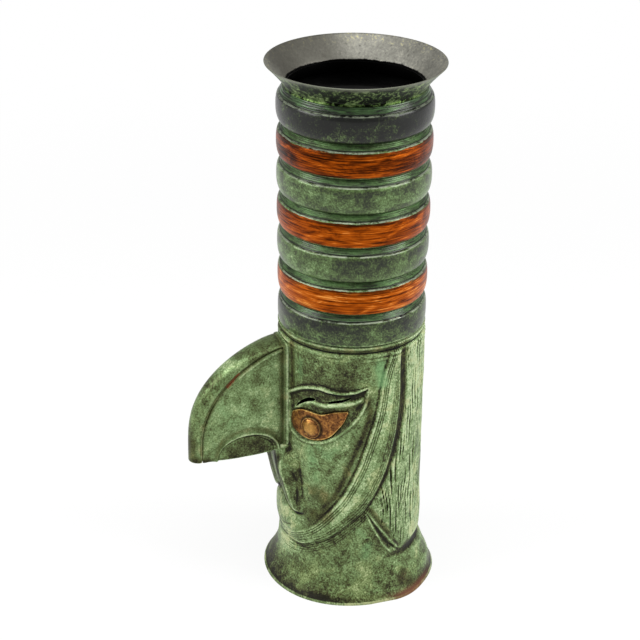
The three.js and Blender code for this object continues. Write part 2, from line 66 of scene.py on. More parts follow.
hoop_count = 7
tube_radius = 40.5
sheet_wall = 1.0
foot_radius = corner("head_shell")[1].x
foot_height = 27.0
neck_foot = corner("neck_hoop_7")[0].z
neck_top = corner("neck_hoop_1")[1].z
hoop_radius = {number: corner(f"neck_hoop_{number}")[1].x for number in range(1, hoop_count + 1)}
hoop_pitch = (neck_top - neck_foot) / hoop_count
face_top = neck_foot - 4.0
rim_radius = corner("lip_flare")[1].x
rim_top = corner("lip_flare")[1].z
skirt_foot = corner("lip_flare")[0].z
notch_radius = tube_radius - 2.0
around = math.pi * tube_radius / 180
print("hoop pitch", round(hoop_pitch, 2), "face top", round(face_top, 1), "foot", round(foot_radius, 1))

# %% [markdown]
# ## Starting a mesh by hand
# A new primitive comes in wholly selected, and so do the solids after loading. So everything is
# let go of first. Turned ware starts from one point, which is extruded along the profile and then
# spun round the axis, as on a lathe.

# %% Starting and closing a piece
def begin(add, name, **settings):
    """Adds a primitive under a name of its own and opens it in edit mode."""
    bpy.ops.object.select_all(action="DESELECT")
    add(**settings)
    piece = bpy.context.object
    piece.name = piece.data.name = name
    bpy.ops.object.mode_set(mode="EDIT")
    bpy.ops.mesh.select_mode(type="VERT")
    bpy.ops.mesh.select_all(action="SELECT")
    return piece


def close(piece, sharp=40):
    """Merges doubles, turns the faces outwards and smooths all but the sharp edges."""
    bpy.ops.mesh.select_all(action="SELECT")
    bpy.ops.mesh.remove_doubles(threshold=1e-6)
    bpy.ops.mesh.normals_make_consistent(inside=False)
    bpy.ops.object.mode_set(mode="OBJECT")
    bpy.ops.object.shade_smooth_by_angle(angle=math.radians(sharp))
    print(piece.name, "has", len(piece.data.polygons), "faces")
    return piece


def choose(piece):
    """Makes a piece the active one and the only one that is selected."""
    bpy.ops.object.select_all(action="DESELECT")
    bpy.context.view_layer.objects.active = piece
    piece.select_set(True)


def apply_modifier(piece, kind, **settings):
    """Puts one modifier on a piece and applies it."""
    choose(piece)
    bpy.ops.object.modifier_add(type=kind)
    modifier = piece.modifiers[-1]
    for key, value in settings.items():
        setattr(modifier, key, value)
    bpy.ops.object.modifier_apply(modifier=modifier.name)


# %% Turning on the lathe
def turned(name, profile, steps, sharp=40):
    """A closed profile of [radius, height] points in millimetres, spun round the axis."""
    piece = begin(bpy.ops.mesh.primitive_plane_add, name, size=mm)
    bpy.ops.mesh.merge(type="CENTER")
    points = [Vector((radius * mm, 0, z * mm)) for radius, z in profile]
    bpy.ops.transform.translate(value=points[0])
    for before, after in zip(points, [*points[1:], points[0]]):
        bpy.ops.mesh.extrude_vertices_move(TRANSFORM_OT_translate={"value": after - before})
    bpy.ops.mesh.select_all(action="SELECT")
    bpy.ops.mesh.remove_doubles(threshold=1e-7)
    bpy.ops.mesh.spin(steps=steps, angle=2 * math.pi, center=(0, 0, 0), axis=(0, 0, 1))
    return close(piece, sharp)


# %% Reading and writing the points of a mesh
def read_points(piece):
    """The vertices of a piece as rows of x, y, z in millimetres."""
    flat = np.empty(len(piece.data.vertices) * 3)
    piece.data.vertices.foreach_get("co", flat)
    return flat.reshape(-1, 3) / mm


def read_normals(piece):
    flat = np.empty(len(piece.data.vertices) * 3)
    piece.data.vertices.foreach_get("normal", flat)
    return flat.reshape(-1, 3)


def write_points(piece, points):
    piece.data.vertices.foreach_set("co", (points * mm).ravel())
    piece.data.update()


def write_values(piece, name, values):
    """Stores one number per point, which a finish can read by its name."""
    attribute = piece.data.attributes.new(name, "FLOAT", "POINT")
    attribute.data.foreach_set("value", values.astype(np.float32))


# %% [markdown]
# ## The tube that becomes the head
# The head, its trumpet foot and its collar are one sheet. The outside gets a row of points every
# 0.67 mm or so over the face, because the hammer work below moves these points. The inside is
# coarser.

# %% Profile of the head
def foot_curve(z):
    """Radius of the trumpet foot and the tube at a height."""
    fall = max(0.0, 1 - z / foot_height)
    return tube_radius + (foot_radius - tube_radius) * fall ** 2.2


# The collar above the face, as steps outwards and upwards: a groove first, then a soft shoulder.
collar_steps = [(-0.1, -0.3), (-0.35, 0.0), (-0.85, 0.25), (-1.35, 0.45), (-1.5, 0.65), (-1.2, 0.9),
                (-0.75, 1.3), (-0.4, 1.8), (-0.16, 2.4), (0.0, 3.0), (0.08, 3.5), (0.12, 3.95)]


def head_profile():
    foot = [[foot_curve(z) - 0.02, z] for z in np.linspace(0, foot_height - 1, 20)]
    wall = [[tube_radius, z] for z in np.linspace(foot_height, face_top - 0.6, 196)]
    collar = [[tube_radius + out, face_top + up] for out, up in collar_steps]
    shelf = [[notch_radius - sheet_wall, neck_foot], [notch_radius - sheet_wall, neck_foot - 1]]
    inside = [[foot_curve(z) - sheet_wall, z] for z in np.linspace(face_top + 2, 0, 32)]
    inside[-1][0] -= 0.7
    return foot + wall + collar + shelf + inside


head = turned("head", head_profile(), 370)

# %% [markdown]
# ## The sheet laid flat
# A chaser draws on the sheet before the hammer starts. Here the tube is unrolled in numbers: one
# axis runs round it from the middle of the face, the other runs up. Each chosen point below is
# given in degrees round and millimetres up. Both halves of the face share one drawing.

# %% The unrolled sheet
def unroll(piece):
    """Points, their radius, and their place on the flat sheet in millimetres: round and up."""
    points = read_points(piece)
    turn = np.arctan2(points[:, 0], -points[:, 1])
    return points, np.hypot(points[:, 0], points[:, 1]), np.degrees(turn) * around, points[:, 2].copy()


points, radius, round_mm, up_mm = unroll(head)
half_sheet = np.column_stack([np.abs(round_mm), up_mm])
azimuth = half_sheet[:, 0] / around
height = np.zeros(len(points))


def rolled_up(span, angle, z):
    """Points from their distance to the axis, their angle from the face and their height."""
    return np.column_stack([span * np.sin(angle), -span * np.cos(angle), z])


def smooth_line(chosen, steps=6, scale=(around, 1)):
    """A smooth line through chosen points, as rows of millimetres on the sheet."""
    knots = np.array(chosen, float) * scale
    ends = np.vstack([2 * knots[0] - knots[1], knots, 2 * knots[-1] - knots[-2]])
    t = np.linspace(0, 1, steps, endpoint=False)[:, None]
    spans = [0.5 * (2 * b + (c - a) * t + (2 * a - 5 * b + 4 * c - d) * t**2
                    + (3 * b - a - 3 * c + d) * t**3)
             for a, b, c, d in zip(ends, ends[1:], ends[2:], ends[3:])]
    return np.vstack([*spans, knots[-1:]])


def from_line(line, at, reach=6.0):
    """Gap to a line, which side of it (1 is left) and the share along it, for near points."""
    gap = np.full(len(at), 1e3)
    side = np.ones(len(at))
    share = np.zeros(len(at))
    near = np.flatnonzero(np.all((at > line.min(0) - reach) & (at < line.max(0) + reach), axis=1))
    start, step = line[:-1], np.diff(line, axis=0)
    length = np.hypot(*step.T)
    for part in np.array_split(near, max(1, len(near) * len(start) // 2_000_000 + 1)):
        offset = at[part][:, None] - start
        along = np.clip((offset * step).sum(2) / length**2, 0, 1)
        away = np.linalg.norm(offset - along[..., None] * step, axis=2)
        best = away.argmin(1)
        row = np.arange(len(part))
        gap[part] = away[row, best]
        cross = step[best, 0] * offset[row, best, 1] - step[best, 1] * offset[row, best, 0]
        side[part] = np.where(cross >= 0, 1, -1)
        passed = np.concatenate([[0], np.cumsum(length)])
        share[part] = (passed[best] + along[row, best] * length[best]) / passed[-1]
    return gap, side, share


def in_loop(loop, at, reach=12):
    """Distance into a closed loop of the sheet, below 0 outside it."""
    closed = np.vstack([loop, loop[:1]])
    closed = closed[np.concatenate([[True], np.hypot(*np.diff(closed, axis=0).T) > 1e-6])]
    gap, _, _ = from_line(closed, at, reach)
    x, y = at.T
    inside = np.zeros(len(at), bool)
    for (x0, y0), (x1, y1) in zip(closed, closed[1:]):
        if y0 != y1:
            inside ^= ((y0 > y) != (y1 > y)) & (x < x0 + (x1 - x0) * (y - y0) / (y1 - y0))
    return np.where(inside, gap, -gap)


def ease(value, low=0.0, high=1.0):
    """0 below low, 1 above high and a smooth rise between."""
    t = np.clip((value - low) / (high - low), 0, 1)
    return t * t * (3 - 2 * t)


def bell(value, width):
    """1 at zero, falling off to both sides."""
    return np.exp(-((value / width) ** 2))


# %% [markdown]
# ## Three tools
# The smith has a chasing liner that leaves a groove, a raising hammer that leaves a ridge, and
# planishing blows that fade out. Each tool below works on the heights of the whole sheet.

# %% The smith's tools
def taper(share, tail=0.12):
    """Lines start and end shallow."""
    return ease(share, 0, tail) * ease(1 - share, 0, tail)


def chase(chosen, depth, width, tail=0.12):
    """Height change of a chased line: a groove with slightly raised lips."""
    gap, _, share = from_line(smooth_line(chosen), half_sheet)
    return depth * (0.35 * bell(gap - 2 * width, width) - bell(gap, width)) * taper(share, tail)


def raise_line(chosen, rise, width, tail=0.15):
    """Height change of a ridge along a line."""
    gap, _, share = from_line(smooth_line(chosen), half_sheet, 3 * width)
    return rise * bell(gap, width) * taper(share, tail)


def ripple(x, y, size, start):
    """Uneven hand work: a sum of waves that never lines up, about -1 to 1."""
    total = np.zeros(np.shape(x))
    for k in range(5):
        lean = start * 1.7 + k * 2.4
        along = (x * math.cos(lean) + y * math.sin(lean)) / size
        total += np.sin(along * (1 + 0.37 * k) + start * 3 + k * k)
    return total / 3


# %% [markdown]
# ## The jaw band
# A raised band frames the face from collar to collar. Its inner edge is crisp on the cheek and
# soft at the chin. Lines run along both edges. The outlines are a few points each.

# %% The jaw band
band_inner = [(103, 156), (98, 146), (94.5, 136), (93.1, 128.3), (90.7, 117.3), (86.4, 105.9),
              (81.4, 94.9), (77.2, 85.6), (69, 72), (59.1, 60.2), (45.8, 48.7), (35.1, 42),
              (22.5, 36.6), (10, 33.2), (0, 32), (-10, 33.2)]
band_outer = [(111.9, 157), (111.9, 142), (112.4, 128.9), (111.2, 114.5), (107.7, 100.4),
              (103.8, 89.1), (98.5, 78), (91, 66.8), (83.7, 58.7), (76.4, 53.1), (64.7, 45),
              (55.6, 39.2), (45.9, 34.5), (35.2, 30.3), (22.5, 27.9), (10, 26.9), (0, 26.7), (-10, 26.9)]


def band_gaps(at):
    """How far each point lies in from the inner and the outer edge of the band."""
    inner, inner_side, _ = from_line(smooth_line(band_inner, 4), at, 30)
    outer, outer_side, _ = from_line(smooth_line(band_outer, 4), at, 30)
    far_back = (outer > 900) & (at[:, 0] > 100 * around)
    return inner * inner_side, np.where(far_back, -1e3, -outer * outer_side)


in_from_inner, in_from_outer = band_gaps(half_sheet)
under_collar = ease(face_top - up_mm, 0.2, 1.4)
collar_lines = [(1.3, 0.3), (2.5, -0.3), (3.6, 0.28), (4.6, -0.22)]
crisp = ease(azimuth, 42, 56)
on_band = ease(in_from_inner, -0.5 + 0.4 * crisp, 1.7 - 1.1 * crisp) * ease(in_from_outer, -0.5, 1.4)
jaw_rise = 0.3 + 0.6 * ease(azimuth, 14, 46)
height += jaw_rise * on_band * under_collar
height -= (0.5 - 0.35 * ease(up_mm, 112, 130)) * bell(in_from_inner + 0.8, 0.8) * crisp * under_collar
uneven = 0.75 + 0.35 * ripple(round_mm, up_mm, 11, 1.4)
for drop, rise in collar_lines:
    height += rise * bell(up_mm - face_top + drop, 0.55) * uneven
print("band covers", int(on_band.sum()), "points")

# %% [markdown]
# ## The hair
# Behind the band the sheet is covered with upright chisel marks, about 2.4 mm apart, that
# waver, fork and stop. A dark channel parts the hair from the band. Low on each side a strip of
# sheet runs back as a wedge and ends the hair.

# %% The hair
hair_point, hair_nape = (83.7, 58.2), (109.4, 31.5)
wedge = [hair_point, (91.6, 49.2), (100, 40.6), hair_nape, (118, 26.5), (140, 25.6), (182, 25.4)]
strand_pitch, strand_depth, hair_rise = 2.4, 0.8, 0.3


def chance_of(number):
    """A share from 0 to 1 that differs from one whole number to the next, and is the same each run."""
    return np.sin(number * 12.9898) * 43758.5453 % 1


def hair_fields(at):
    """Where the hair is, the place across its strands in millimetres, and how deep each cut goes."""
    gap, side, share = from_line(smooth_line(wedge), at, 140)
    above = np.where(at[:, 0] > hair_point[0] * around, gap * side, -1e3)
    _, from_outer = band_gaps(at)
    past_channel = 0.4 + 3.4 * ease(at[:, 1], 66, 104)
    there = ease(-from_outer - past_channel, 0, 1.8) * ease(above, 1.2, 3.4)
    fan = 0.34 * np.maximum(0, 74 - at[:, 1]) * (1 - ease(at[:, 0], 60, 84))
    sway = 0.9 * np.sin(at[:, 1] / 19 + at[:, 0] / 17) + 0.35 * np.sin(at[:, 1] / 5.1 + at[:, 0] / 3.1)
    strand = at[:, 0] - fan + sway + 0.6 * ripple(at[:, 0], at[:, 1], 7, 2.2)
    strand += 0.6 * np.sin(strand / 2.7)
    chance = chance_of(np.floor(strand / strand_pitch))
    depth = np.clip(0.62 + 0.6 * np.sin(at[:, 1] / (4.0 + 4.5 * chance) + 40 * chance), 0.08, 1.2)
    middle = 1 - np.abs(((strand / strand_pitch) % 1) * 2 - 1)
    return there, strand, there * depth * ease(middle, 0.4, 1.0), above, share


in_hair, strand, hair_cut, above_wedge, wedge_share = hair_fields(half_sheet)
in_hair = in_hair * under_collar
height += in_hair * (hair_rise + 0.25 * ease(60 - up_mm, 0, 20)) - strand_depth * hair_cut * under_collar
wide_above = ease(up_mm, 80, 104)
channel = bell(-in_from_outer - 1.6 - 1.2 * wide_above, 1.5 + 0.9 * wide_above)
height -= 0.6 * channel * ease(up_mm, 60, 92) * under_collar * (0.8 + 0.3 * ripple(round_mm, up_mm, 3, 5))
height -= 0.25 * channel * ease(92 - up_mm, 0, 30) * ease(up_mm, 52, 62)
beside = np.where(wedge_share < 0.42, -above_wedge, 1e3)
spread = 1.4 + 3.4 * ease(wedge_share, 0, 0.34)
for offset in (0.3, spread):
    height += 0.6 * bell(beside - offset, 0.65) * ease(wedge_share, 0, 0.03)
height -= 0.5 * bell(beside - spread / 2, 0.3 * spread) * ease(wedge_share, 0, 0.05)
behind = (wedge_share > 0.36) & (azimuth > 104)
for offset, rise in ((0.3, 0.5), (1.5, -0.35), (2.6, 0.5)):
    height += behind * rise * bell(-above_wedge - offset, 0.6)
print("hair covers", int(in_hair.sum()), "points")

# %% [markdown]
# ## The eye
# The brow is a narrow fold between two chased lines. Under it the sheet is sunk to a dish that a
# low ridge frames. An eyelid stands in the dish and falls towards the brass plate.

# %% Brow and socket
fold_rise, dish_depth, lid_rise, seat_depth = 0.5, 1.45, 1.1, 2.1
brow_reach = 14
brow_low = [(13, 122), (16.7, 123.7), (29.6, 129), (43.4, 131.7), (53.5, 131), (63.1, 130.7),
            (74.3, 131.7), (83.6, 134.3), (91.3, 136.9)]
brow_high = [(13, 124), (16.7, 125.6), (32.1, 131.9), (46.5, 134.1), (57.4, 132.9), (66.8, 132.4),
             (76.1, 133.6), (85.5, 135.6), (92.3, 137.5)]
socket_line = [(84.2, 131.6), (82, 124.3), (77.4, 117.7), (71, 111.8), (63.5, 106.5), (55.9, 102),
               (46.9, 99.2), (32.3, 97.2), (21.5, 98.7), (15, 102), (13.2, 107.7), (14, 114)]
socket_loop = np.vstack([smooth_line(socket_line), smooth_line(brow_low[:-1])])
brow_gap, brow_side, brow_share = from_line(smooth_line(brow_low), half_sheet, brow_reach)
high_gap, high_side, _ = from_line(smooth_line(brow_high), half_sheet, 20)
sock_gap, _, sock_share = from_line(smooth_line(socket_line), half_sheet, 8)
in_socket = in_loop(socket_loop, half_sheet)
brow_end = 1 - ease(brow_share, 0.86, 1.0)
fold = ease(brow_gap * brow_side, -0.25, 0.5) * ease(-high_gap * high_side, -0.7, 0.7)
fold *= brow_gap < brow_reach
height += fold_rise * fold * (0.4 + 0.6 * brow_end)
height -= 0.4 * bell(high_gap, 0.55) * brow_end
height -= 0.45 * bell(high_gap, 4.5) * (high_side > 0) * brow_end
height -= 0.3 * bell(brow_gap + 0.3, 0.6) * ease(brow_share, 0.7, 0.9) * (brow_side < 0)
dish = ease(in_socket, -0.2, np.where(brow_gap < sock_gap, 0.9, 2.6))
height -= dish_depth * dish
height += (0.32 * bell(sock_gap, 0.55) - 0.22 * bell(sock_gap - 1.25, 0.5)) * taper(sock_share, 0.08)
height += 0.22 * bell(in_socket - 2.0, 0.5) * (brow_gap > 4)

# %% Eyelid and the seat of the brass plate
lid_line = [(18, 113.8), (20.5, 115.6), (25, 118.4), (30.5, 121), (36, 122.5), (40.3, 122.9), (46.6, 122.4),
            (53.7, 123), (60.4, 123.8), (67, 124.7), (72.5, 125.8), (78.1, 127.4), (82.3, 128.8)]
plate_top = [(16.2, 106.5), (16.8, 110.3), (20.4, 113.2), (28.5, 115.9), (36.5, 116.5), (46.3, 116.3),
             (58.3, 119), (68.6, 120)]
plate_low = [(16.2, 106), (17.6, 103.2), (21.6, 101.2), (28, 99.9), (36.5, 99.3), (46.4, 100.6),
             (54.6, 103.8), (60.4, 108.6), (65.1, 113.4), (68.6, 119.2)]
slit_inner = [(20.8, 115.9), (25.7, 119.2), (32.2, 122.5), (36.9, 123.8), (40.6, 124.2)]
slit_outer = [(52, 123.9), (57.5, 125.1), (63.2, 126), (67.4, 127), (70.8, 128)]
lid_gap, lid_side, lid_share = from_line(smooth_line(lid_line), half_sheet, 9)
above_lid = lid_gap * lid_side
lid = np.where(above_lid > 0, 1 - ease(above_lid, 0.1, 1.2), 1 - ease(-above_lid, 0.3, 3.6))
height += lid_rise * lid * dish * ease(lid_share, 0, 0.1) * (1 - ease(lid_share, 0.93, 1))
for slit in (slit_inner, slit_outer):
    height -= 0.5 * bell(from_line(smooth_line(slit), half_sheet)[0], 1.1) * dish
plate_loop = np.vstack([smooth_line(plate_low), smooth_line(plate_top)[::-1]])
in_plate = in_loop(plate_loop, half_sheet, 6)
seat = ease(in_plate, -1.1, -0.3)
height = height * (1 - seat) - seat_depth * seat
print("deepest point of the socket", round(float(height.min()), 2), "mm")

# %% [markdown]
# ## The muzzle, mouth and chin
# Two ridges run down from under the beak and spread. Between them lies a trough that ends in a
# small hole. The lower edge of the muzzle hangs over the chin, and that edge is the mouth.

# %% The muzzle
muzzle_span, muzzle_top = 26.0, 86.6
lip_rise, nose_rise, trough = 1.6, 8.4, 4.8
# Shares of the muzzle's half width: the ridge low and high, and where the slope beyond it ends.
ridge_low, ridge_high, slope_end = 0.86, 0.6, 1.2
mouth_edge = np.interp(azimuth, (0, 6, 12, 17, 22, 27, 34), (58.6, 57.2, 54.0, 51.3, 50.2, 50.0, 51.5))
up_share = (up_mm - mouth_edge) / (muzzle_top - mouth_edge)
t = np.clip(up_share, 0, 1)
across = azimuth / (muzzle_span * (1.12 - 0.27 * t))
ridge_at = ridge_low + (ridge_high - ridge_low) * t
ridge = lip_rise + (nose_rise - lip_rise) * t**0.6
hollow = ridge - trough * (0.25 + 0.4 * t) * (1 - np.clip(across / ridge_at, 0, 1) ** 2)
slope = ridge * (1 - np.clip((across - ridge_at) / (slope_end - ridge_at), 0, 1)) ** 1.35
muzzle = np.where(across < ridge_at, hollow, slope)
overhang = ease(up_mm - mouth_edge, -1.6, 0.9)
beside_beak = ease(azimuth, 6, 17)
below_beak = 1 - ease(up_mm, 72 + 0.3 * azimuth, 89)
on_muzzle = (across < slope_end) * (up_share < 1.1)
height += muzzle * overhang * on_muzzle * (1 - beside_beak * (1 - below_beak))
height += 0.6 * bell(up_mm - 79, 8) * ease(24 - azimuth, 0, 8) * (up_share < 1.1)
fade = np.where(azimuth > 14.6, ease(85.5 + 0.55 * (azimuth - 15) - up_mm, 0, 6), up_mm < 87)
muzzle_fold = [(7.2, 78), (12.5, 75.2), (18.2, 72.6), (23.8, 69.6), (25.2, 64.2), (24.6, 58)]
muzzle_side = [(27.2, 84.2), (20.8, 77.2), (23.5, 71.5), (27.3, 67.7), (29.7, 60.4), (30.9, 52)]
height += fade * (raise_line(muzzle_fold, 0.25, 1.1) + raise_line(muzzle_side, 0.32, 0.9))
height += chase([(22.1, 76.9), (26.1, 68), (26.9, 59.5), (26.1, 52.7)], 0.4, 0.9)
height += raise_line([(31, 70), (32.6, 65), (32.8, 58.8), (30, 51)], 0.3, 0.9)
height += chase([(7, 84), (8.5, 77), (9, 71), (7.5, 65), (4, 61)], 0.35, 0.8) * fade

# %% Chin, waist and the hollows of the cheek
chin_half, chin_z, chin_span = 11.0, face_top - 108.5, 25.0
side_on = np.sqrt(np.clip(1 - (azimuth / chin_span) ** 2, 0, 1))
reach = chin_half * (0.25 + 0.75 * side_on)
chin = np.clip(np.cos(np.clip((up_mm - chin_z) / reach, -1, 1) * math.pi / 2), 0, 1)
height += np.maximum(0, 1.75 * side_on * chin - 0.2) * ease(mouth_edge - up_mm, 0.2, 2.2)
height -= 0.45 * bell(mouth_edge - up_mm - 1.3, 0.9) * (1 - ease(azimuth, 28, 33))
height += 1.1 * bell(up_mm - 37.5, 5) * ease(40 - azimuth, 0, 20)
height -= 0.5 * bell(up_mm - 33, 5) * ease(34 - azimuth, 0, 22)
height -= (1.6 * bell(up_mm - 26, 3) + 1.2 * bell(up_mm - 22, 2.8)) * ease(44 - azimuth, 0, 22)
height += chase([(-14, 38), (-6, 36.4), (2, 36), (12, 37.2), (21, 40.6)], 0.3, 0.6)
height += raise_line([(-14, 35.4), (-6, 34.4), (2, 34.2), (14, 35.7), (26, 40)], 0.3, 0.7)
height += chase([(-14, 29.4), (-6, 29), (2, 28.8), (14, 29.3), (28, 31.6), (42, 36.6)], 0.35, 0.7)
height += raise_line([(31, 97), (34, 88), (37, 78), (39, 68), (37, 58)], 0.5, 4.5)
height -= 0.8 * bell(in_from_inner + 6.5, 4.5) * ease(100 - up_mm, 0, 25) * ease(up_mm, 44, 56)
temple = ease(up_mm, 92, 104) * ease(132 - up_mm, 0, 8) * ease(-in_socket, 0, 2)
height -= 0.5 * bell(in_from_inner + 5, 4.0) * temple
height -= 0.5 * bell(azimuth - 17.5, 3.0) * ease(up_mm, 126, 132) * ease(153 - up_mm, 0, 10)
print("proudest point of the muzzle", round(float(height.max()), 2), "mm")

# %% [markdown]
# ## Striking the relief
# The outside takes the whole relief. The inside follows it, as sheet does, so the wall keeps its
# thickness. A last light unevenness is left by the planishing hammer.

# %% Striking the relief
body = ease(up_mm, foot_height - 3, foot_height + 2) * (up_mm < face_top - 0.2)
body *= radius > tube_radius - 2 * sheet_wall
hammered = (up_mm > 2) & (up_mm < face_top - 1)
struck = height * body
struck += hammered * (0.13 * ripple(round_mm, up_mm, 9, 0.4) + 0.06 * ripple(round_mm, up_mm, 2.6, 2.9))
struck += 0.12 * ripple(round_mm, up_mm, 3.1, 6.1) * on_band * (up_mm < 70) * body
low = ease(foot_height - up_mm, 0, foot_height) ** 1.6
for middle, width, swell in ((150, 26, 1.0), (113, 17, 2.0), (42, 24, 0.4)):
    struck += swell * bell(azimuth - middle, width) * low
for up, width, swell in ((17, 5, 1.6), (9.5, 5, 2.4), (36, 7, 0.4), (23.5, 2.6, -1.8)):
    struck += swell * bell(azimuth - 150, 30) * bell(up_mm - up, width)
struck -= 0.6 * bell(azimuth - 8, 30) * bell(up_mm - 14, 9)
struck[radius < tube_radius - 2.5 * sheet_wall] = 0
struck -= 0.3 * (radius < tube_radius - 0.5 * sheet_wall) * (struck < -0.3)
points[:, :2] *= ((radius + struck) / radius)[:, None]
most = foot_radius - 0.01
points[:, 0] = np.clip(points[:, 0], -most, most)
points[:, 1] = np.minimum(points[:, 1], most)
write_points(head, points)
print("head spans mm", [round(float(v), 1) for v in points.max(0) - points.min(0)])

# %% [markdown]
# ## Piercing
# Two slits under each brow and the hole in the mouth go right through the sheet. A cutter is a
# thin slice of round bar, pinched to a lens, bent onto the tube, and taken away by a boolean.

# %% Piercing cutters
def bent_onto_tube(piece, line, half_width, low, high):
    """Lays a unit round bar along a line of the sheet: x runs along it, z through the wall."""
    place = read_points(piece) * mm
    share = np.clip((place[:, 0] + 1) / 2, 0, 1) * (len(line) - 1)
    middle = np.column_stack([np.interp(share, range(len(line)), line[:, k]) for k in (0, 1)])
    blunt = np.sign(place[:, 1]) * np.abs(place[:, 1]) ** 0.6 * half_width
    depth = np.where(place[:, 2] > 0, high, low) + tube_radius
    write_points(piece, rolled_up(depth, middle[:, 0] / tube_radius, middle[:, 1] + blunt))


def pierce(piece, chosen, half_width):
    """Cuts a slit along a line of the sheet, right through it."""
    line = smooth_line(chosen)
    cutter = begin(bpy.ops.mesh.primitive_cylinder_add, "cutter", vertices=48, radius=1, depth=2)
    bpy.ops.object.mode_set(mode="OBJECT")
    bent_onto_tube(cutter, line, half_width, -6, 9)
    bpy.ops.object.mode_set(mode="EDIT")
    close(cutter)
    apply_modifier(piece, "BOOLEAN", object=cutter, operation="DIFFERENCE", solver="MANIFOLD")
    bpy.data.objects.remove(cutter)


slits = ((slit_inner, 1.15), (slit_outer, 0.95))
mouth_hole, mouth_half_width = [(2.8, 62.6), (2.2, 60.2), (2.4, 57.6), (3.4, 55)], 1.7
for side in (1, -1):
    for slit, half_width in slits:
        pierce(head, [(side * a, z) for a, z in slit], half_width)
pierce(head, mouth_hole, mouth_half_width)
bpy.context.view_layer.objects.active = head
bpy.ops.object.shade_smooth_by_angle(angle=math.radians(50))

# %% [markdown]
# ## Where the sheet is rubbed, and where light and shade are painted
# Patina is rubbed off the ridges and thick in the hollows, and the finishes also paint highlights on
# the ridges and shade in the hollows. So every piece gets an attribute that says how far each point
# stands above the average of its surroundings. The finishes read it.

# %% Wear, painted highlight and painted shade
def mark_relief(piece, passes=10, wide=0):
    """Stores how proud each point is of its near surroundings, and how sunk in its wide ones."""
    place = read_points(piece)
    edges = np.empty(len(piece.data.edges) * 2, int)
    piece.data.edges.foreach_get("vertices", edges)
    a, b = edges.reshape(-1, 2).T
    count = np.bincount(a, minlength=len(place)) + np.bincount(b, minlength=len(place))
    near = smooth = place
    for turn in range(passes + wide):
        total = [np.bincount(a, smooth[b, k], len(place)) + np.bincount(b, smooth[a, k], len(place))
                 for k in range(3)]
        smooth = 0.5 * smooth + 0.5 * np.column_stack(total) / np.maximum(count, 1)[:, None]
        if turn < passes:
            near = smooth
    normals = read_normals(piece)
    proud = ((place - near) * normals).sum(1)
    write_values(piece, "relief", proud)
    write_values(piece, "sunk", ((smooth - near) * normals).sum(1))
    print(piece.name, "relief from", round(float(proud.min()), 2), "to", round(float(proud.max()), 2))


mark_relief(head, 9, 80)

# %% [markdown]
# ## Daubs of colour
# Acid and handling coloured the sheet unevenly: brown by the beak, blue green where it pooled. Shade
# and light are painted the same way: the shade strokes are painted shade, the brown under the brow,
# in the hollow cheek and in other hollows is painted shade as well as stain, and some pale strokes
# are painted light. Each daub is a soft stroke along a line of the sheet. The strokes are stored on
# the points, and the finish makes their edges ragged.

# %% Daubs on the head
_, _, round_mm, up_mm = unroll(head)
half_sheet = np.column_stack([np.abs(round_mm), up_mm])
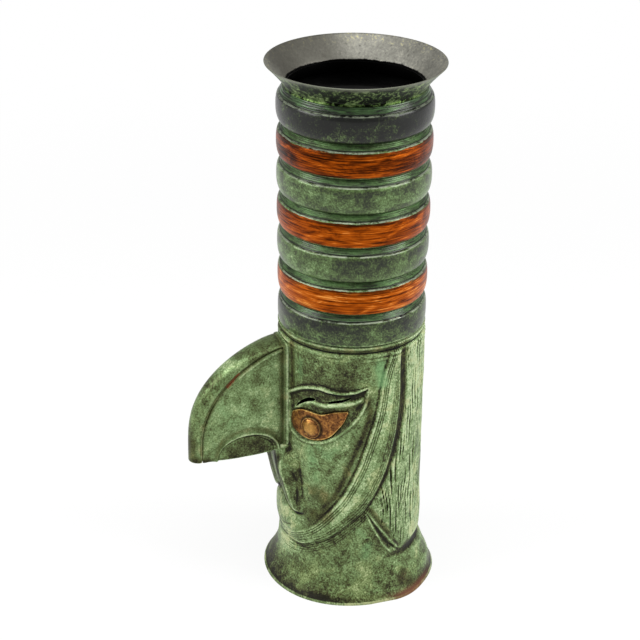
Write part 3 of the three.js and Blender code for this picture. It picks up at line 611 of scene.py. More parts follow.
# Each stroke is its width, its strength and its line.
head_strokes = {
    # Where brown follows hollows and creases, as along the channel by the hair, the band's inner edge, the
    # hollow cheek, the wedge, the muzzle's trough, the mouth's edge, above the brow fold and under the hoops,
    # it is painted shade as well as brown stain.
    "brown": [
        (2.6, 1.0, [(18, 154), (18.5, 143), (18.5, 134), (18, 128)]),
        (1.4, 0.6, [(17, 92), (17.3, 104), (17.5, 120)]),
        (6.5, 0.9, [(44, 68), (52, 62), (52, 54), (42, 50)]),
        (3.5, 0.75, [(62, 74), (68, 82), (73, 94)]),
        (2.6, 0.95, [(84, 128), (86, 118), (81, 106), (76, 97), (70, 86), (64, 74), (58, 65)]),
        (2.6, 0.55, [(60, 137.5), (50, 138), (42, 138), (72, 138)]),
        (2.2, 0.45, [(62, 149.5), (72, 149), (82, 150)]),
        (2.8, 1.0, [(114.8, 153), (115, 140), (115.5, 128), (114, 114), (110.6, 101)]),
        (2.2, 0.7, [(110.3, 101), (106, 90), (100.5, 79), (93, 67)]),
        (2.8, 0.6, [(11, 82), (14, 74), (17, 66), (20, 58)]),
        (3.5, 0.45, [(12, 82), (19, 72), (23, 62), (25, 55)]),
        (2.4, 0.7, [(0, 157), (60, 157), (120, 157)]),
        (2.0, 0.95, [(88, 57.5), (95, 50), (104, 40)]),
        (1.6, 0.6, [(25, 76), (28, 68), (29, 58), (27, 51)]),
        (1.4, 0.8, [(5, 57), (12, 52.5), (18, 49.5), (28, 48.5)]),
        (3.4, 1.0, [(116, 11), (112, 8), (120, 5)]),
        (2.6, 1.0, [(130, 3), (118, 0.5), (106, 0.5)]),
    ],
    "verdigris": [
        (5.5, 0.6, [(38, 94), (40, 85.6), (42, 74)]),
        (4.5, 0.6, [(44, 96), (52, 92), (60, 96)]),
        (4.6, 0.9, [(93, 148), (94, 143), (95, 137)]),
        (4.0, 0.6, [(28, 146), (27.5, 138)]),
        (5.0, 0.5, [(78, 44), (86, 37), (84, 28)]),
        (3.0, 0.35, [(74, 60), (82, 72), (90, 88)]),
    ],
    "pale": [
        # Painted light: the first two pale strokes lighten the flanks of the foot.
        (8.0, 1.8, [(8, 20), (10, 28)]),
        (7.0, 1.8, [(112, 22), (124, 24), (134, 26)]),
        (3.6, 0.8, [(42, 43), (52, 47), (62, 54), (70, 63)]),
        (5.0, 1.0, [(6, 46), (14, 46), (22, 45), (30, 46)]),
        (7.0, 0.8, [(52, 90), (56, 100), (66, 96), (60, 84), (50, 78)]),
        # Painted light: a lighter strip down the right side of the hair.
        (7.0, 0.8, [(122, 40), (124, 70), (124, 100), (125, 130), (128, 150)]),
        (5.0, 0.5, [(40, 98), (38, 88), (41, 76), (44, 68)]),
        (3.4, 0.6, [(104, 140), (104, 122), (99, 104), (93, 88)]),
    ],
    "shade": [
        (1.8, 1.0, [(114.8, 153), (115, 140), (115.5, 128), (114, 114), (110.6, 101), (106, 90)]),
        (1.3, 0.8, [(110.3, 101), (106, 90), (100.5, 79), (93, 67), (86, 60)]),
        (1.2, 0.9, [(86, 118), (81, 106), (76, 97), (70, 86), (64, 74), (58, 65), (50, 58)]),
        (1.2, 1.0, [(16.6, 153), (16.6, 140), (16.6, 120), (16.6, 90)]),
        (5.5, 0.45, [(14, 80), (20, 72), (24, 62), (26, 55)]),
        (1.3, 1.0, socket_line[3:]),
        (2.6, 0.9, [(8, 80), (9, 72), (9, 64), (10, 57)]),
        (2.8, 0.9, [(11, 82), (14, 74), (17, 66), (20, 58)]),
        (1.3, 1.0, [(5, 84), (6, 76), (4, 68), (3, 62), (3, 54)]),
        (1.6, 0.6, [(16, 127), (29.6, 131.8), (43.4, 135), (53.5, 134.6), (63.1, 134.2), (74.3, 135)]),
        (9, 0.3, [(0, 8), (60, 6), (120, 8)]),
        (2.4, 0.9, [(0, 0), (60, 0), (120, 0)]),
        (2.6, 1.0, [(0, 157), (60, 157), (120, 157)]),
        (8, 0.35, [(25, 146), (50, 144), (75, 146)]),
    ],
}


def daubed(at, strokes, scale):
    """How strongly each kind of colour covers each point."""
    covered = {}
    for kind, lines in strokes.items():
        covered[kind] = np.zeros(len(at))
        for width, strength, chosen in lines:
            gap, _, _ = from_line(smooth_line(chosen, 3, scale), at, 2.5 * width)
            covered[kind] = np.maximum(covered[kind], strength * bell(gap, width))
    return covered


daubs = daubed(half_sheet, head_strokes, (around, 1))
in_dish = ease(in_loop(socket_loop, half_sheet), 0.2, 1.6)
lid_gap = from_line(smooth_line(lid_line), half_sheet, 9)[0]
daubs["shade"] = np.maximum(daubs["shade"], in_dish * (0.85 - 1.1 * bell(lid_gap - 0.2, 1.3)))
in_hair, strand, hair_cut, _, _ = hair_fields(half_sheet)
in_from_inner, in_from_outer = band_gaps(half_sheet)
for name, values in (("hair", in_hair), ("strand", strand), ("cut", hair_cut),
                     ("rail_in", in_from_inner), ("rail_out", in_from_outer)):
    write_values(head, name, np.clip(values, -60, 200))
for kind, values in daubs.items():
    write_values(head, kind, values)
print("daubed", {kind: int((values > 0.3).sum()) for kind, values in daubs.items()})

# %% [markdown]
# ## The neck hoops
# Each hoop is half round, with a shoulder set off by a crease and a bead, and a deep notch below.
# One is turned, and the others are copies. The tube tapers a little, so each copy takes its own
# radius, and its own slight wobble, because no two hand-made hoops are alike.

# %% Turning a hoop
first = hoop_count
crease = hoop_pitch - 4.3
joint_radius, joint_drop = notch_radius - 1.5, 0.8


def hoop_curve(z):
    """Outer radius of the lowest hoop at a height above its lower edge."""
    widest = 0.42 * hoop_pitch
    if z < widest:
        return joint_radius + (hoop_radius[first] - joint_radius) * (1 - (1 - z / widest) ** 2.5) ** 0.4
    if z < crease:
        return hoop_radius[first] - 0.8 * ((z - widest) / (crease - widest)) ** 3
    shoulder = hoop_radius[first] - 1.2 - joint_radius
    return joint_radius + shoulder * ((hoop_pitch - z) / (hoop_pitch - crease)) ** 0.8


bulge = [0, 0.012, 0.03, 0.055, 0.09, 0.13, 0.18, 0.24, 0.31, 0.39, 0.48, 0.57, 0.65, 0.71]
# The crease and the beads of the shoulder: how far above the crease, and how far out.
beads = [(-0.7, -0.03), (-0.45, -0.16), (-0.25, -0.34), (0, -0.36), (0.2, -0.12), (0.4, 0.16), (0.65, 0.22),
         (0.95, 0.08), (1.25, -0.1), (1.5, -0.02), (1.8, 0.08), (2.1, 0), (2.35, -0.13), (2.6, 0),
         (2.85, 0.06), (3.1, -0.02), (3.3, -0.1), (3.5, 0), (3.8, 0.02), (4.05, 0)]


def hoop_profile():
    steps = [(hoop_pitch * share, 0) for share in bulge]
    steps += [(crease + up, out) for up, out in beads] + [(hoop_pitch, 0)]
    inside = [[hoop_curve(z) - sheet_wall, z] for z in hoop_pitch * np.array([1, 0.9, 0.7, 0.5, 0.3, 0.1, 0])]
    return [[hoop_curve(z) + out, z] for z, out in steps] + inside


first_hoop = turned("hoop_7", [[r, z + neck_foot] for r, z in hoop_profile()], 200, 50)


# %% Stacking the hoops
def wobble(piece, number, amount=0.1):
    """Takes the hoop's own radius, then leaves hand work's uneven roundness and level."""
    place = read_points(piece)
    start, grow = 1.1 * number, (hoop_radius[number] - joint_radius) / (hoop_radius[first] - joint_radius)
    level = (place[:, 2] - neck_foot) / hoop_pitch - (first - number)
    free = ease(level, 0.02, 0.3) * ease(1 - level, 0.02, 0.3)
    angle = np.arctan2(place[:, 1], place[:, 0])
    span = np.hypot(place[:, 0], place[:, 1])
    round_neck = angle * 20
    swell = np.maximum(0, span - joint_radius) * (grow - 1)
    swell += free * amount * ripple(round_neck, place[:, 2], 12, start)
    place[:, :2] *= (1 + swell / span)[:, None]
    if number == first:
        outer = span > notch_radius + 0.5 - 2 * level
        filled = hoop_radius[first] - 0.4 * ease(1 - level, 0.7, 1)
        fill = outer * np.maximum(0, filled - span) * ease(0.5 - level, 0, 0.1)
        place[:, :2] *= (1 + fill / span)[:, None]
    place[:, 2] += 2.2 * amount * free * ripple(round_neck, np.zeros(len(angle)), 17, start + 2)
    at_foot, at_head = (number < first) * ease(1 - level, 0.65, 1), (number > 1) * ease(level, 0.78, 1)
    place[:, 2] -= joint_drop * (at_foot + at_head)
    write_points(piece, place)


def copy_of(piece, name, lift):
    """A copy with a mesh of its own, moved up in its mesh."""
    choose(piece)
    bpy.ops.object.duplicate(linked=False)
    twin = bpy.context.object
    twin.name = twin.data.name = name
    place = read_points(twin)
    place[:, 2] += lift
    write_points(twin, place)
    return twin


hoops = {first: first_hoop}
for number in range(first - 1, 0, -1):
    hoops[number] = copy_of(first_hoop, f"hoop_{number}", (first - number) * hoop_pitch)
for number, hoop in hoops.items():
    wobble(hoop, number)
    mark_relief(hoop, 6)

# %% [markdown]
# ## The flared lip
# A thin cone of sheet, closed round a skirt that slides into the top hoop. Solder fills the corner
# outside. Its edge is filed round, not rolled.

# %% The flared lip
lip_wall = 0.8
skirt_outer = notch_radius - sheet_wall - 0.3


def lip_profile():
    shares = np.linspace(0.1, 1, 16)
    spread = (rim_radius - 0.03 - skirt_outer) * shares**1.15
    rise = rim_top - neck_top - 0.25
    outer = [[skirt_outer + out, neck_top + rise * share] for out, share in zip(spread, shares)]
    solder = [[skirt_outer, neck_top + 0.01], [notch_radius - 0.05, neck_top + 0.01],
              [notch_radius - 0.15, neck_top + 0.25], [notch_radius - 0.4, neck_top + 0.7]]
    edge = [[rim_radius - 0.25, rim_top - 0.02], [rim_radius - 0.6, rim_top - 0.05]]
    inner = [[r - lip_wall, z + 0.1] for r, z in reversed(outer)]
    skirt_inner = skirt_outer - lip_wall
    skirt = [[skirt_inner, neck_top], [skirt_inner, skirt_foot], [skirt_outer, skirt_foot]]
    return solder + outer + edge + inner[1:] + skirt


lip = turned("lip", lip_profile(), 240, 55)
mark_relief(lip, 6)

# %% [markdown]
# ## The beak
# The beak is bent from plates that meet in wide seams: a crest over the top, two sides and a sole,
# all standing on a flange that hugs the tube. A grid is the flat plate, and it is bent to shape by
# two shares, one along and one across. Solidify then gives it the thickness of the sheet.

# %% Lines of the beak
beak_box = corner("beak_crest")
beak_root = -corner("beak_flange")[0].y
beak_reach = -beak_box[0].y - beak_root
beak_top = beak_box[1].z
beak_height, tip_drop, tip_share = 61.3, 6.7, 0.86
beak_middle = beak_top - beak_height
tip_z = beak_middle - tip_drop
root_half, tip_half = beak_box[1].x, 5.0
band_root, band_tip = 2.2, 6.2
ridge_round, seam_round = (1.455, 2.78), (1.33, 2.29)
seam_gap = 0.3


def beak_half(reach):
    return root_half - (root_half - tip_half) * np.clip(reach / beak_reach, 0, 1) ** 2


def sole_z(reach):
    return tip_z + 3 * (1 - np.clip(reach / beak_reach, 0, 1)) ** 3


def beak_arc(angle, reach, rise, bends):
    """A line that leaves the root on a slope and stands full at the tip."""
    along = np.sin(angle)
    level = np.maximum(0, 1 - along ** bends[0]) ** (1 / bends[1])
    return np.array([reach * along, beak_middle + rise * level])


def crest_lines(share):
    """Ridge and seam of the crest as (reach, height), for shares from root to tip."""
    angle = np.pi / 2 * np.minimum(1, share / tip_share)
    fall = np.maximum(0, (share - tip_share) / (1 - tip_share)) * tip_drop
    ridge = beak_arc(angle, beak_reach, beak_height, ridge_round)
    seam = beak_arc(angle, beak_reach - band_tip, beak_height - band_root, seam_round)
    for line in (ridge, seam):
        line[1] -= fall
    return ridge, seam


def at_beak(reach, z, x):
    """Points of the beak from reach, height and sideways place."""
    return np.column_stack([x, -(beak_root + reach), z])


def bent_plate(name, along, across, shape, thickness, sharp=40):
    """A flat grid bent by a function of two shares, then given a thickness inwards."""
    plate = begin(bpy.ops.mesh.primitive_grid_add, name, x_subdivisions=along, y_subdivisions=across, size=2)
    bpy.ops.object.mode_set(mode="OBJECT")
    flat = read_points(plate) * mm
    write_points(plate, shape((flat[:, 0] + 1) / 2, (flat[:, 1] + 1) / 2))
    bpy.ops.object.mode_set(mode="EDIT")
    close(plate, sharp)
    apply_modifier(plate, "SOLIDIFY", thickness=thickness * mm, offset=-1, use_even_offset=False)
    bpy.ops.object.shade_smooth_by_angle(angle=math.radians(sharp))
    return plate


# %% The crest
def crest_shape(along, across):
    ridge, seam = crest_lines(along)
    swing = np.pi * (across - 0.5)
    lift = np.abs(np.cos(swing)) ** 0.95
    side = np.sign(swing) * np.abs(np.sin(swing)) ** 0.95
    edge = np.minimum(across, 1 - across)
    roll = 0.8 * (1 - ease(edge, 0.0, 0.09)) * (1 - 0.5 * along)
    half = beak_half(seam[0]) - roll
    reach = seam[0] + (ridge[0] - seam[0]) * lift
    z = seam[1] + (ridge[1] - seam[1]) * lift
    uneven = 0.12 * ripple(reach + z, side * 8, 6, 2.0)
    return at_beak(reach - np.abs(uneven) * 0.5, z - np.abs(uneven), half * side)


crest = bent_plate("beak_crest_plate", 150, 56, crest_shape, sheet_wall)
mark_relief(crest, 8)


# %% The side plates with the nostril
nostril_centre, nostril_half, nostril_height = 20.3, 17.8, 14.2
side_length = beak_reach - band_tip - seam_gap
seam_line = np.column_stack(crest_lines(np.linspace(0, 1, 90))[1])
nostril_turn = np.linspace(0, np.pi, 60)
nostril_reach = nostril_centre + nostril_half * np.cos(nostril_turn)
nostril_arc = np.column_stack([nostril_reach, sole_z(nostril_reach) + nostril_height * np.sin(nostril_turn)])


def side_shape(side):
    def shape(along, up):
        reach, top = beak_arc(np.pi / 2 * along, side_length, beak_height - band_root, seam_round)
        z = sole_z(reach) + (top - seam_gap - sole_z(reach)) * up
        at = np.column_stack([reach, z])
        seam_off, _, seam_share = from_line(seam_line, at, 60)
        off_arc, arc_side, _ = from_line(nostril_arc, at, 60)
        inside = off_arc * arc_side
        pillow = 0.9 * np.sin(np.pi * along) * ease(seam_off, 0.5, 14) * ease(-inside, 1, 16)
        fading = 1 - 0.7 * ease(seam_share, 0.62, 0.95)
        by_seam = 0.3 * bell(seam_off - 1.7, 0.5) - 1.3 * (1 - ease(seam_off, 0.0, 1.3))
        out = pillow + by_seam * fading
        out += 0.55 * bell(inside, 0.55) - 0.85 * ease(inside, 0.2, 1.5)
        out -= 0.5 * bell(inside + 3.4, 2.4)
        second = bell(inside - 2.8, 0.45) * ease(17 - reach, 0, 5)
        out += 0.07 * ripple(reach, z, 1.7, 1.1) + 0.1 * ripple(reach, z, 5, 3.3) - 0.4 * second
        out -= 0.5 * (1 - ease(reach, 0, 0.9))
        return at_beak(reach, z, side * (beak_half(reach) + out))
    return shape


cheeks = {}
for name, side in (("right", 1), ("left", -1)):
    cheeks[name] = bent_plate(f"beak_cheek_{name}", 150, 110, side_shape(side), sheet_wall)
    mark_relief(cheeks[name], 10)


# %% The sole
def sole_shape(along, across):
    seam_reach = beak_reach - band_tip
    nose = band_tip - sheet_wall - seam_gap
    reach = (seam_reach + 0.95 * nose) * along
    past = np.clip((reach - seam_reach) / nose, 0, 1)
    half = (beak_half(np.minimum(reach, seam_reach)) - sheet_wall - seam_gap) * np.sqrt(1 - past**2)
    return at_beak(reach, sole_z(reach) + seam_gap, half * (2 * across - 1))


sole = bent_plate("beak_floor", 48, 12, sole_shape, -sheet_wall)
mark_relief(sole, 4)

# %% [markdown]
# ## The flange
# A narrow strip follows the root of the beak. It is swept as a bar: the rings of a plain cylinder
# become the strip's cross-section, placed one after the other along the outline.

# %% A bar swept along an outline
def swept(name, stations, section, shape, sharp=35):
    """A closed bar. shape gives the points for shares along the bar and round its section."""
    bar = begin(bpy.ops.mesh.primitive_cylinder_add, name, vertices=section, radius=1, depth=2)
    bpy.ops.mesh.select_all(action="DESELECT")
    bpy.ops.mesh.select_mode(type="EDGE")
    bpy.ops.object.mode_set(mode="OBJECT")
    for edge in bar.data.edges:
        low, high = (bar.data.vertices[v].co.z for v in edge.vertices)
        edge.select = abs(high - low) > 1
    bpy.ops.object.mode_set(mode="EDIT")
    bpy.ops.mesh.subdivide(number_cuts=stations - 1)
    bpy.ops.object.mode_set(mode="OBJECT")
    plain = read_points(bar) * mm
    ring = (np.arctan2(plain[:, 1], plain[:, 0]) / (2 * np.pi)) % 1
    write_points(bar, shape((plain[:, 2] + 1) / 2, np.round(ring * section) % section))
    bpy.ops.object.mode_set(mode="EDIT")
    return close(bar, sharp)


flange_lip, leg = 0.9, 0.3
flange_seam = beak_middle + beak_height - band_root
flange_foot = tip_z + 3 - flange_lip
# Each corner of the section: how far out from the beak's outline, and how far towards the tube.
flange_section = [(-1.0, 0.0), (-0.1, 0.0), (0.05, 0.12), (0.3, 0.0), (0.65, 0.05), (0.9, 0.4), (0.9, 1.0),
                  (-0.2, 1.0), (-1.0, 1.0)]


def flange_shape(along, corner_number):
    grow, back = np.array(flange_section)[corner_number.astype(int)].T
    half = root_half + grow
    turn_at = np.pi * ((along - leg) / (1 - 2 * leg) - 0.5)
    x = np.where(along < leg, -half, np.where(along > 1 - leg, half, half * np.sin(turn_at)))
    left = flange_foot + (flange_seam - flange_foot) * along / leg
    right = flange_foot + (flange_seam - flange_foot) * (1 - along) / leg
    arch = flange_seam + (band_root + grow) * np.cos(turn_at)
    z = np.where(along < leg, left, np.where(along > 1 - leg, right, arch))
    on_tube = np.sqrt((tube_radius + seam_gap) ** 2 - x**2)
    y = -(beak_root + (on_tube - beak_root) * back)
    return np.column_stack([x, y, z])


flange = swept("beak_collar", 120, len(flange_section), flange_shape)
mark_relief(flange, 3)

# %% Daubs on the beak
over_rim = list(zip(nostril_reach[::8], nostril_arc[::8, 1] + 2.8))
beak_strokes = {
    # Brown over the nostril's rim and along the seam is painted shade in that hollow and groove as well as
    # stain.
    "brown": [
        (4.6, 1.0, [(52, 96), (52, 88), (49, 84), (44, 84)]),
        (2.0, 0.6, [(46, 86), (46, 98), (45, 108)]),
        (2.4, 0.75, over_rim),
        (3.5, 0.5, [(15, 92), (24, 94)]),
        (2.4, 0.5, [(12, 150), (3, 151.5)]),
        (1.5, 0.9, seam_line[::10]),
        (2.6, 0.8, [(0.5, 90), (0.5, 120), (0.5, 151)]),
    ],
    "verdigris": [
        (7.0, 0.5, [(22, 112), (30, 108), (34, 118)]),
    ],
    # Painted light: the pale strokes lighten the top of the crest and paint a highlight on each side plate.
    "pale": [
        (4.0, 1.0, [(3, 154), (12, 152), (22, 147.5), (31, 141)]),
        (8.0, 0.8, [(18, 128), (24, 116), (20, 104), (14, 112)]),
        (9.0, 0.6, [(14, 120), (26, 122), (30, 112)]),
    ],
    "shade": [
        (0.9, 1.0, seam_line[:64:9]),
        (2.6, 0.7, [(0.5, 86), (0.5, 120), (0.5, 151)]),
        (4.5, 0.75, [(10, 89), (20, 91), (30, 88)]),
        (3.0, 0.6, [(52, 92), (50, 104), (46, 118), (40, 128)]),
        (1.6, 0.7, [(50, 86), (47, 84), (20, 85), (2, 87)]),
    ],
    "copper": [
        (1.1, 1.0, [(25, 137), (28, 133.6), (31.5, 130)]),
    ],
}


def daub_beak(piece):
    """Brown at the tip, brown with painted shade over the nostril and in the seam, painted light, and bare
    copper in the seam.
    """
    place = read_points(piece)
    at = np.column_stack([-place[:, 1] - beak_root, place[:, 2]])
    for kind, values in daubed(at, beak_strokes, (1, 1)).items():
        write_values(piece, kind, values)


for piece in (crest, flange, sole, *cheeks.values()):
    daub_beak(piece)

# %% [markdown]
# ## The brass eye
# A leaf of brass lies in the socket, a little crowned by the hammer. The pupil is a boss turned
# with a thin rim. It is made flat on the bench first, and then set on the plate.

# %% Leaf plate and pupil
plate_edge, plate_thickness, leaf_length = -0.55, 1.3, 40
lower_edge, upper_edge = (smooth_line(line, 12) for line in (plate_low, plate_top))


def leaf_shape(side):
    def shape(along, up):
        low, top = (np.column_stack([np.interp(along * (len(line) - 1), range(len(line)), line[:, k])
                                     for k in (0, 1)]) for line in (lower_edge, upper_edge))
        at = low + (top - low) * up[:, None]
        tall = np.hypot(*(top - low).T)
        edge = np.minimum(np.minimum(up, 1 - up) * tall, np.minimum(along, 1 - along) * leaf_length)
        crown = 0.22 * ease(edge, 0, 0.8) + 0.22 * ease(edge, 0.5, 4)
        crown += 0.07 * ripple(at[:, 0], at[:, 1], 1.5, 2.6)
        return rolled_up(tube_radius + plate_edge + crown, side * at[:, 0] / tube_radius, at[:, 1])
    return shape


pupil_at = (38.6, 107.3)
pupil_profile = [(0, -0.6), (6.1, -0.6), (6.1, 0.62), (5.9, 0.86), (5.6, 0.9), (5.35, 0.76), (5.15, 0.78),
                 (4.7, 1.2), (3.9, 1.66), (2.9, 2.02), (1.7, 2.26), (0.7, 2.36), (0, 2.38)]


def make_pupil(name, side):
    piece = turned(name, pupil_profile, 64)
    angle = math.radians(side * pupil_at[0])
    rest = tube_radius + plate_edge + 0.3
    choose(piece)
    piece.rotation_euler = (math.pi / 2, 0, angle)
    piece.location = Vector((rest * math.sin(angle), -rest * math.cos(angle), pupil_at[1])) * mm
    bpy.ops.object.transform_apply(location=True, rotation=True, scale=True)
    return piece


leaves, pupils = {}, {}
for name, side in (("right", 1), ("left", -1)):
    leaves[name] = bent_plate(f"eye_leaf_{name}", 90, 34, leaf_shape(side), plate_thickness, 50)
    pupils[name] = make_pupil(f"eye_boss_{name}", side)
    mark_relief(leaves[name], 5)
    mark_relief(pupils[name], 5)

# %% [markdown]
# ## Inside and outside
# The sheet is green outside and black inside. A thin wall has both within a millimetre, so each
# point stores which way it faces: 1 straight out from the axis, -1 straight in.

# %% Which way the sheet faces
def mark_outward(piece):
    place = read_points(piece)
    out = place[:, :2] / np.maximum(np.hypot(place[:, 0], place[:, 1]), 1)[:, None]
    write_values(piece, "outward", (read_normals(piece)[:, :2] * out).sum(1))


for piece in (head, lip, *hoops.values()):
    mark_outward(piece)

# %% [markdown]
# ## Writing finishes as sums
# A finish is a tree of nodes, but it reads better as arithmetic. A value wraps one socket, and
# adding or multiplying values adds the Math nodes. Every other node comes from one method.

# %% Finishes
class Value:
    """One socket of a finish."""

    def __init__(self, finish, socket):
        self.finish, self.socket = finish, socket

    def math(self, operation, first, second):
        return self.finish.add("ShaderNodeMath", {"operation": operation}, {0: first, 1: second})

    def __add__(self, other):
        return self.math("ADD", self, other)

    def __sub__(self, other):
        return self.math("SUBTRACT", self, other)

    def __rsub__(self, other):
        return self.math("SUBTRACT", other, self)

    def __mul__(self, other):
        return self.math("MULTIPLY", self, other)

    def __mod__(self, other):
        return self.math("FLOORED_MODULO", self, other)

    def comb(self, pitch):
        """Runs from 0 to 1 and back within each pitch."""
        return self.math("PINGPONG", self, pitch / 2) * (2 / pitch)

    __radd__ = __add__
    __rmul__ = __mul__


def tone(red, green, blue):
    """A colour as a screen shows it, 0 to 255, in the linear values that a shader takes."""
    shares = [c / 255 for c in (red, green, blue)]
    return tuple(c / 12.92 if c <= 0.04045 else ((c + 0.055) / 1.055) ** 2.4 for c in shares) + (1,)


class Finish:
    """A material under construction."""

    def __init__(self, name):
        self.material = bpy.data.materials.new(name)
        self.material.use_nodes = True
        self.tree = self.material.node_tree
        self.shader = self.tree.nodes["Principled BSDF"]
        self.place = self.add("ShaderNodeTexCoord", output="Object")

    def add(self, kind, settings=None, sockets=None, output=0):
        """Adds a node: its settings first, then the values or links of its sockets."""
        node = self.tree.nodes.new(kind)
        for key, value in (settings or {}).items():
            if key == "stops":
                ramp = node.color_ramp.elements
                ramp[0].position, ramp[-1].position = value[0][0], value[-1][0]
                for at, _ in value[1:-1]:
                    ramp.new(at)
                for element, (_, colour) in zip(ramp, value):
                    element.color = colour
            else:
                setattr(node, key, value)
        for key, value in (sockets or {}).items():
            if isinstance(value, Value):
                self.tree.links.new(value.socket, node.inputs[key])
            else:
                node.inputs[key].default_value = value
        return Value(self, node.outputs[output])

    def cloud(self, size, detail=4.0, warp=0.0, stretch=(1, 1, 1), offset=0.0, rough=0.6):
        """Noise from 0 to 1 with lumps of a size in millimetres."""
        moved = {"Vector": self.place, "Scale": stretch, "Location": (offset,) * 3}
        at = self.add("ShaderNodeMapping", None, moved)
        sockets = {"Vector": at, "Scale": 1 / (size * mm), "Detail": detail, "Roughness": rough,
                   "Distortion": warp}
        return self.add("ShaderNodeTexNoise", None, sockets)

    def rise(self, value, low, high):
        """0 below low, 1 above high, smooth between."""
        sockets = {"Value": value, "From Min": low, "From Max": high}
        return self.add("ShaderNodeMapRange", {"interpolation_type": "SMOOTHSTEP"}, sockets)

    def window(self, value, low, high, soft):
        """1 between low and high, 0 beyond."""
        return self.rise(value, low, low + soft) * (1 - self.rise(value, high - soft, high))

    def blend(self, mask, under, over, way="MIX"):
        """Lays one colour over another where the mask is."""
        settings = {"data_type": "RGBA", "blend_type": way, "clamp_factor": True}
        return self.add("ShaderNodeMix", settings, {0: mask, 6: under, 7: over}, output=2)

    def ramp(self, value, stops):
        """A colour that runs through the stops. Each is a share and a colour from 0 to 255."""
        stops = [(share, tone(*colour)) for share, colour in stops]
        return self.add("ShaderNodeValToRGB", {"stops": stops}, {0: value})

    def axis(self, name):
        return self.add("ShaderNodeSeparateXYZ", None, {0: self.place}, output=name)

    def near(self, middle, radius, soft=0.6, flat=1.0):
        """A mask about a point in millimetres. Flat above 1 squeezes it upwards."""
        squeeze = (1, 1, flat)
        spot = tuple(p * s * mm for p, s in zip(middle, squeeze))
        at = self.add("ShaderNodeVectorMath", {"operation": "MULTIPLY"}, {0: self.place, 1: squeeze})
        gap = self.add("ShaderNodeVectorMath", {"operation": "DISTANCE"}, {0: at, 1: spot}, output="Value")
        return 1 - self.rise(gap, radius * mm * (1 - soft), radius * mm * (1 + soft))

    def from_middle(self):
        return self.add("ShaderNodeVectorMath", {"operation": "LENGTH"}, {0: self.place}, output="Value")

    def stored(self, name):
        """A number that the piece stores on its points."""
        return self.add("ShaderNodeAttribute", {"attribute_name": name}, output="Fac")

    def finish(self, colour, roughness, metallic, bump=None, depth=0.1, specular=0.35, coat=0.0):
        """Wires the shader. The bump's depth is in millimetres."""
        for key, value in (("Base Color", colour), ("Roughness", roughness), ("Metallic", metallic),
                           ("Specular IOR Level", specular), ("Coat Weight", coat), ("Coat Roughness", 0.12)):
            if isinstance(value, Value):
                self.tree.links.new(value.socket, self.shader.inputs[key])
            else:
                self.shader.inputs[key].default_value = value
        if bump is not None:
            sockets = {"Strength": 1.0, "Distance": depth * mm, "Height": bump}
            normal = self.add("ShaderNodeBump", None, sockets)
            self.tree.links.new(normal.socket, self.shader.inputs["Normal"])
        print("finish", self.material.name, "has", len(self.tree.nodes), "nodes")
        return self.material


# %% [markdown]
# ## Green patina
# Patina is a crust that grew in several goes. Clouds of four sizes are added up, from broad ones
# down to grains, and the sum runs through one ramp from black olive to pale bloom. Hollows push
# the sum down, as thicker crust and as painted shade, and ridges push it up, as rubbed crust and as
# painted highlight. The same crust serves every green piece.

# %% Patina
PATINA = [(0, (28, 27, 13)), (0.22, (62, 65, 36)), (0.42, (89, 103, 62)), (0.58, (108, 131, 84)),
          (0.78, (136, 160, 110)), (1, (188, 206, 160))]
HOOP_PATINA = [(0, (12, 15, 8)), (0.25, (34, 42, 22)), (0.45, (60, 74, 38)), (0.62, (84, 106, 58)),
               (0.8, (106, 134, 82)), (1, (160, 178, 132))]
BLACK, VERDIGRIS = tone(3, 3, 3), tone(116, 164, 110)


def on_tube(azimuth, z, out=0.0):
    angle = math.radians(azimuth)
    return ((tube_radius + out) * math.sin(angle), -(tube_radius + out) * math.cos(angle), z)


def crust(f, stops, offset=0.0, lift=None, level=(1, 1, 1), gain=1.0):
    """Colour of the patina before stains, with the clouds it was made from."""
    broad = f.cloud(30, 3, 0.8, level, offset)
    mottle = f.cloud(9, 4, 1.2, level, offset + 0.3, 0.5)
    fleck = f.cloud(2.6, 5, 1.3, offset=offset + 1.1, rough=0.6)
    grain = f.cloud(0.9, 3, 0.4, offset=offset + 0.7, rough=0.6)
    total = (broad - 0.5) * 1.4 * gain + (mottle - 0.5) * 0.85 * gain
    total = total + (fleck - 0.5) * 1.1 * gain + (grain - 0.5) * 1.3 * gain + 0.53
    proud, sunk = f.stored("relief"), f.stored("sunk")
    # Painted highlight and painted shade: proud points are lightened, as rubbed crust and as highlights on
    # ridge tips, and grooves and broad hollows are darkened, as thicker crust and as shade.
    total = total + f.rise(proud, 0.02, 0.3) * 0.22 + f.rise(proud, 0.12, 0.4) * 0.2
    total = total - f.rise(proud * -1, 0.02, 0.28) * 0.46
    total = total + f.rise(sunk * -1, 0.1, 1.0) * 0.1 - f.rise(sunk, 0.08, 0.8) * 0.35
    total = total - f.stored("shade") * 0.3
    if lift is not None:
        total = total + lift
    return f.ramp(total, stops), broad, mottle, fleck, grain


def stained_and_shaded(f, colour, mottle, fleck):
    """Lays the stored blue green and brown daubs over a colour, with ragged edges. In hollows the brown is
    painted shade as well as stain.
    """
    ragged = (mottle - 0.5) * 1.1 + (fleck - 0.5) * 0.6
    green = f.rise(f.stored("verdigris") + ragged, 0.3, 1.0)
    colour = f.blend(green * 0.6, colour, VERDIGRIS)
    brown = f.rise(f.stored("brown") + ragged, 0.25, 0.95)
    return f.blend(brown * 0.85, colour, (0.4, 0.3, 0.2, 1), "MULTIPLY")


def grit(mottle, fleck, grain):
    """Height of the crust, from its three finer clouds."""
    return mottle * 0.6 + fleck * 0.4 + grain * 0.3


def black_inside(f, colour):
    """Turns the sheet black where it faces the axis."""
    return f.blend(1 - f.rise(f.stored("outward"), -0.3, 0.1), colour, BLACK)


